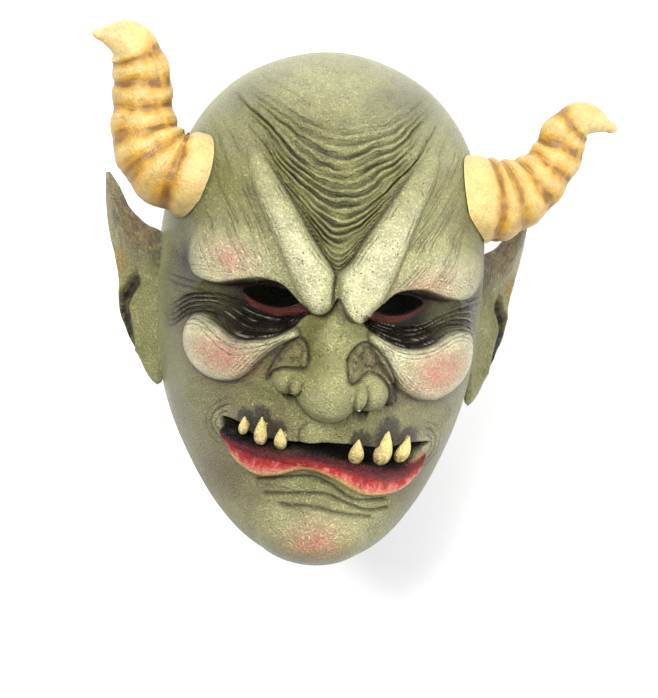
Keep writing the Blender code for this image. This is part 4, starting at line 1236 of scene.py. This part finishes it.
class Paintwork:
    """A material built node by node."""

    def __init__(self, name):
        self.material = bpy.data.materials.new(name)
        self.material.use_nodes = True
        self.nodes, self.links = self.material.node_tree.nodes, self.material.node_tree.links
        self.shader = self.nodes["Principled BSDF"]
        self.place = self.nodes.new("ShaderNodeTexCoord").outputs["Object"]

    def set(self, node, socket, value):
        """Set a socket to a value or link another socket to it."""
        if isinstance(value, (float, int, tuple)):
            node.inputs[socket].default_value = value
        else:
            self.links.new(value, node.inputs[socket])

    def layer(self, name, output="Fac"):
        """A painted layer of the mesh."""
        node = self.nodes.new("ShaderNodeAttribute")
        node.attribute_name = name
        return node.outputs[output]

    def noise(self, scale, detail, roughness):
        """Cloudy noise from 0 to 1."""
        node = self.nodes.new("ShaderNodeTexNoise")
        self.set(node, "Vector", self.place)
        for socket, value in (("Scale", scale), ("Detail", detail), ("Roughness", roughness)):
            self.set(node, socket, value)
        return node.outputs["Fac"]

    def cells(self, scale, feature, output="Distance"):
        """Distance within a pattern of cells."""
        node = self.nodes.new("ShaderNodeTexVoronoi")
        node.feature = feature
        self.set(node, "Vector", self.place)
        self.set(node, "Scale", scale)
        return node.outputs[output]

    def ramp(self, source, low, high, low_value, high_value):
        """A smooth change of one value into another range."""
        node = self.nodes.new("ShaderNodeMapRange")
        node.interpolation_type = "SMOOTHSTEP"
        ends = (("From Min", low), ("From Max", high), ("To Min", low_value), ("To Max", high_value))
        for socket, value in (("Value", source), *ends):
            self.set(node, socket, value)
        return node.outputs["Result"]

    def math(self, operation, first, second=0.0, third=0.0):
        """One sum of up to three values."""
        node = self.nodes.new("ShaderNodeMath")
        node.operation = operation
        for socket, value in enumerate((first, second, third)):
            self.set(node, socket, value)
        return node.outputs["Value"]

    def mix(self, mode, first, second, share):
        """Two colours blended."""
        node = self.nodes.new("ShaderNodeMix")
        node.data_type = "RGBA"
        node.blend_type = mode
        for socket, value in (("A", first), ("B", second), ("Factor", share)):
            self.set(node, socket, value)
        return node.outputs["Result"]

    def furrows(self, number, width):
        """The fine lines of one layer, 1 in each line."""
        phase, strength = self.layer(f"line_phase_{number}"), self.layer(f"line_depth_{number}")
        wavering = self.math("MULTIPLY_ADD", self.noise(300.0, 2.0, 0.5), 0.26, phase)
        away = self.math("PINGPONG", wavering, 0.5)
        return self.math("MULTIPLY", self.ramp(away, 0.0, width, 1.0, 0.0), strength)

    def relief(self, height, depth, below=None):
        """Fine relief in the shading, over another one if given."""
        node = self.nodes.new("ShaderNodeBump")
        self.set(node, "Strength", 1.0)
        self.set(node, "Distance", depth)
        self.set(node, "Height", height)
        if below is not None:
            self.links.new(below, node.inputs["Normal"])
        return node.outputs["Normal"]


def painted_latex():
    """Hand-painted latex: stored paint, fine dark lines, flecks, a leathery grain and uneven gloss."""
    work = Paintwork("painted latex")
    mottle = work.noise(85.0, 5.0, 0.6)
    pebble = work.ramp(work.noise(900.0, 4.0, 0.62), 0.36, 0.64, 0.04, 0.96)
    cells = work.cells(620.0, "DISTANCE_TO_EDGE")
    colour = work.mix("OVERLAY", work.layer("paint", "Color"), mottle, 0.45)
    colour = work.mix("OVERLAY", colour, pebble, 0.22)
    stipple = work.layer("stipple")
    for scale, size in ((330.0, 0.20), (640.0, 0.26), (1100.0, 0.26)):
        flecks = work.ramp(work.cells(scale, "F1"), size * 0.6, size, 1.0, 0.0)
        some = work.ramp(work.noise(scale * 0.23, 2.0, 0.6), 0.45, 0.58, 0.0, 0.9)
        share = work.math("MULTIPLY", work.math("MULTIPLY", flecks, some), stipple)
        colour = work.mix("MIX", colour, FLECK_DARK, share)
    lines = None
    for number, width in ((0, 0.20), (1, 0.22), (2, 0.24)):
        drawn = work.furrows(number, width)
        lines = drawn if lines is None else work.math("MAXIMUM", lines, drawn)
    colour = work.mix("MIX", colour, LINE_DARK, work.math("MULTIPLY", lines, 0.86))
    work.set(work.shader, "Base Color", colour)
    gloss = work.layer("gloss")
    dull = work.ramp(mottle, 0.3, 0.7, 0.31, 0.43)
    work.set(work.shader, "Roughness", work.math("MULTIPLY_ADD", gloss, -0.26, dull))
    fine = work.math("MULTIPLY_ADD", pebble, 1.0, work.ramp(cells, 0.0, 0.28, 0.0, 0.35))
    calm = work.math("MULTIPLY_ADD", gloss, -0.6, 1.0)
    work.set(work.shader, "Specular IOR Level", work.math("MULTIPLY_ADD", gloss, -0.38, 0.5))
    skin = work.relief(work.math("MULTIPLY", fine, calm), 0.00065)
    work.set(work.shader, "Normal", work.relief(work.math("MULTIPLY", lines, -1.0), 0.0005, skin))
    return work.material


def painted_horn():
    """Painted horn: brushed cream, ochre and brown with small pits."""
    work = Paintwork("painted horn")
    mottle = work.noise(140.0, 6.0, 0.65)
    grain = work.noise(900.0, 3.0, 0.6)
    colour = work.mix("OVERLAY", work.layer("paint", "Color"), mottle, 0.60)
    colour = work.mix("OVERLAY", colour, grain, 0.45)
    flecks = work.ramp(work.cells(700.0, "F1"), 0.12, 0.2, 0.8, 0.0)
    some = work.ramp(work.noise(120.0, 2.0, 0.6), 0.52, 0.66, 0.0, 0.7)
    colour = work.mix("MIX", colour, PIT_BROWN, work.math("MULTIPLY", flecks, some))
    work.set(work.shader, "Base Color", colour)
    work.set(work.shader, "Roughness", work.ramp(mottle, 0.3, 0.7, 0.38, 0.52))
    work.set(work.shader, "Normal", work.relief(work.math("MULTIPLY_ADD", mottle, 0.8, grain), 0.0004))
    return work.material


def floor_and_light():
    """A pale floor and soft studio light."""
    bpy.ops.mesh.primitive_plane_add(size=FLOOR_WIDTH, location=(0, 0, 0))
    floor = bpy.context.object
    floor.name = "floor"
    paper = bpy.data.materials.new("pale floor")
    paper.use_nodes = True
    shader = paper.node_tree.nodes["Principled BSDF"]
    shader.inputs["Base Color"].default_value = FLOOR_WHITE
    shader.inputs["Roughness"].default_value = 0.9
    floor.data.materials.append(paper)
    world = bpy.data.worlds.new("studio")
    bpy.context.scene.world = world
    world.use_nodes = True
    background = world.node_tree.nodes["Background"]
    background.inputs["Color"].default_value = (1.0, 1.0, 1.0, 1.0)
    background.inputs["Strength"].default_value = WORLD_STRENGTH
    for name, place, size, power in LIGHTS:
        light = bpy.data.lights.new(name, "AREA")
        light.size = size
        light.energy = power
        lamp = bpy.data.objects.new(name, light)
        bpy.context.scene.collection.objects.link(lamp)
        lamp.location = place
        lamp.rotation_euler = (Vector(LIT_PLACE) - Vector(place)).to_track_quat("-Z", "Y").to_euler()


def photo_camera():
    """The photograph's view of the mask."""
    toward = Vector((-math.sin(PHOTO_YAW) * math.cos(PHOTO_PITCH), math.sin(PHOTO_PITCH),
                     math.cos(PHOTO_YAW) * math.cos(PHOTO_PITCH)))
    level_up = (Vector((0, 1, 0)) - toward * toward.y).normalized()
    level_right = level_up.cross(toward)
    right = level_right * math.cos(PHOTO_ROLL) + level_up * math.sin(PHOTO_ROLL)
    up = level_up * math.cos(PHOTO_ROLL) - level_right * math.sin(PHOTO_ROLL)
    across = (EYES_PIXEL[0] - PHOTO_SIZE[0] / 2) * METRES_A_PIXEL
    down = (EYES_PIXEL[1] - PHOTO_SIZE[1] / 2) * METRES_A_PIXEL
    between_eyes = Vector(to_row((0.0, 0.0, 0.0)))
    aim = between_eyes - right * across + up * down
    camera = bpy.data.objects.new("camera", bpy.data.cameras.new("camera"))
    bpy.context.scene.collection.objects.link(camera)
    turn = Matrix((right, up, toward)).transposed().to_4x4()
    camera.matrix_world = Matrix.Translation(aim + toward * PHOTO_DISTANCE) @ turn
    camera.data.sensor_width = SENSOR
    camera.data.lens = SENSOR * PHOTO_DISTANCE / (max(PHOTO_SIZE) * METRES_A_PIXEL)
    bpy.context.scene.camera = camera


def dress(thing, paint):
    """Give a piece its paint and smooth shading that keeps sharp edges."""
    thing.data.materials.clear()
    thing.data.materials.append(paint)
    thing.data.shade_smooth()
    thing.data.set_sharp_from_angle(angle=SHARP_ANGLE)


def main():
    """Build the view, the mask and its paint."""
    photo_camera()
    floor_and_light()
    bpy.context.scene.view_settings.view_transform = "Standard"
    latex, horn_paint = painted_latex(), painted_horn()
    skin = mask_skin()
    dress(skin, latex)
    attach(skin, "root")
    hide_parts("mask_skin")
    for thing, node in horns():
        dress(thing, horn_paint)
        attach(thing, "root")
        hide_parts(node)


main()
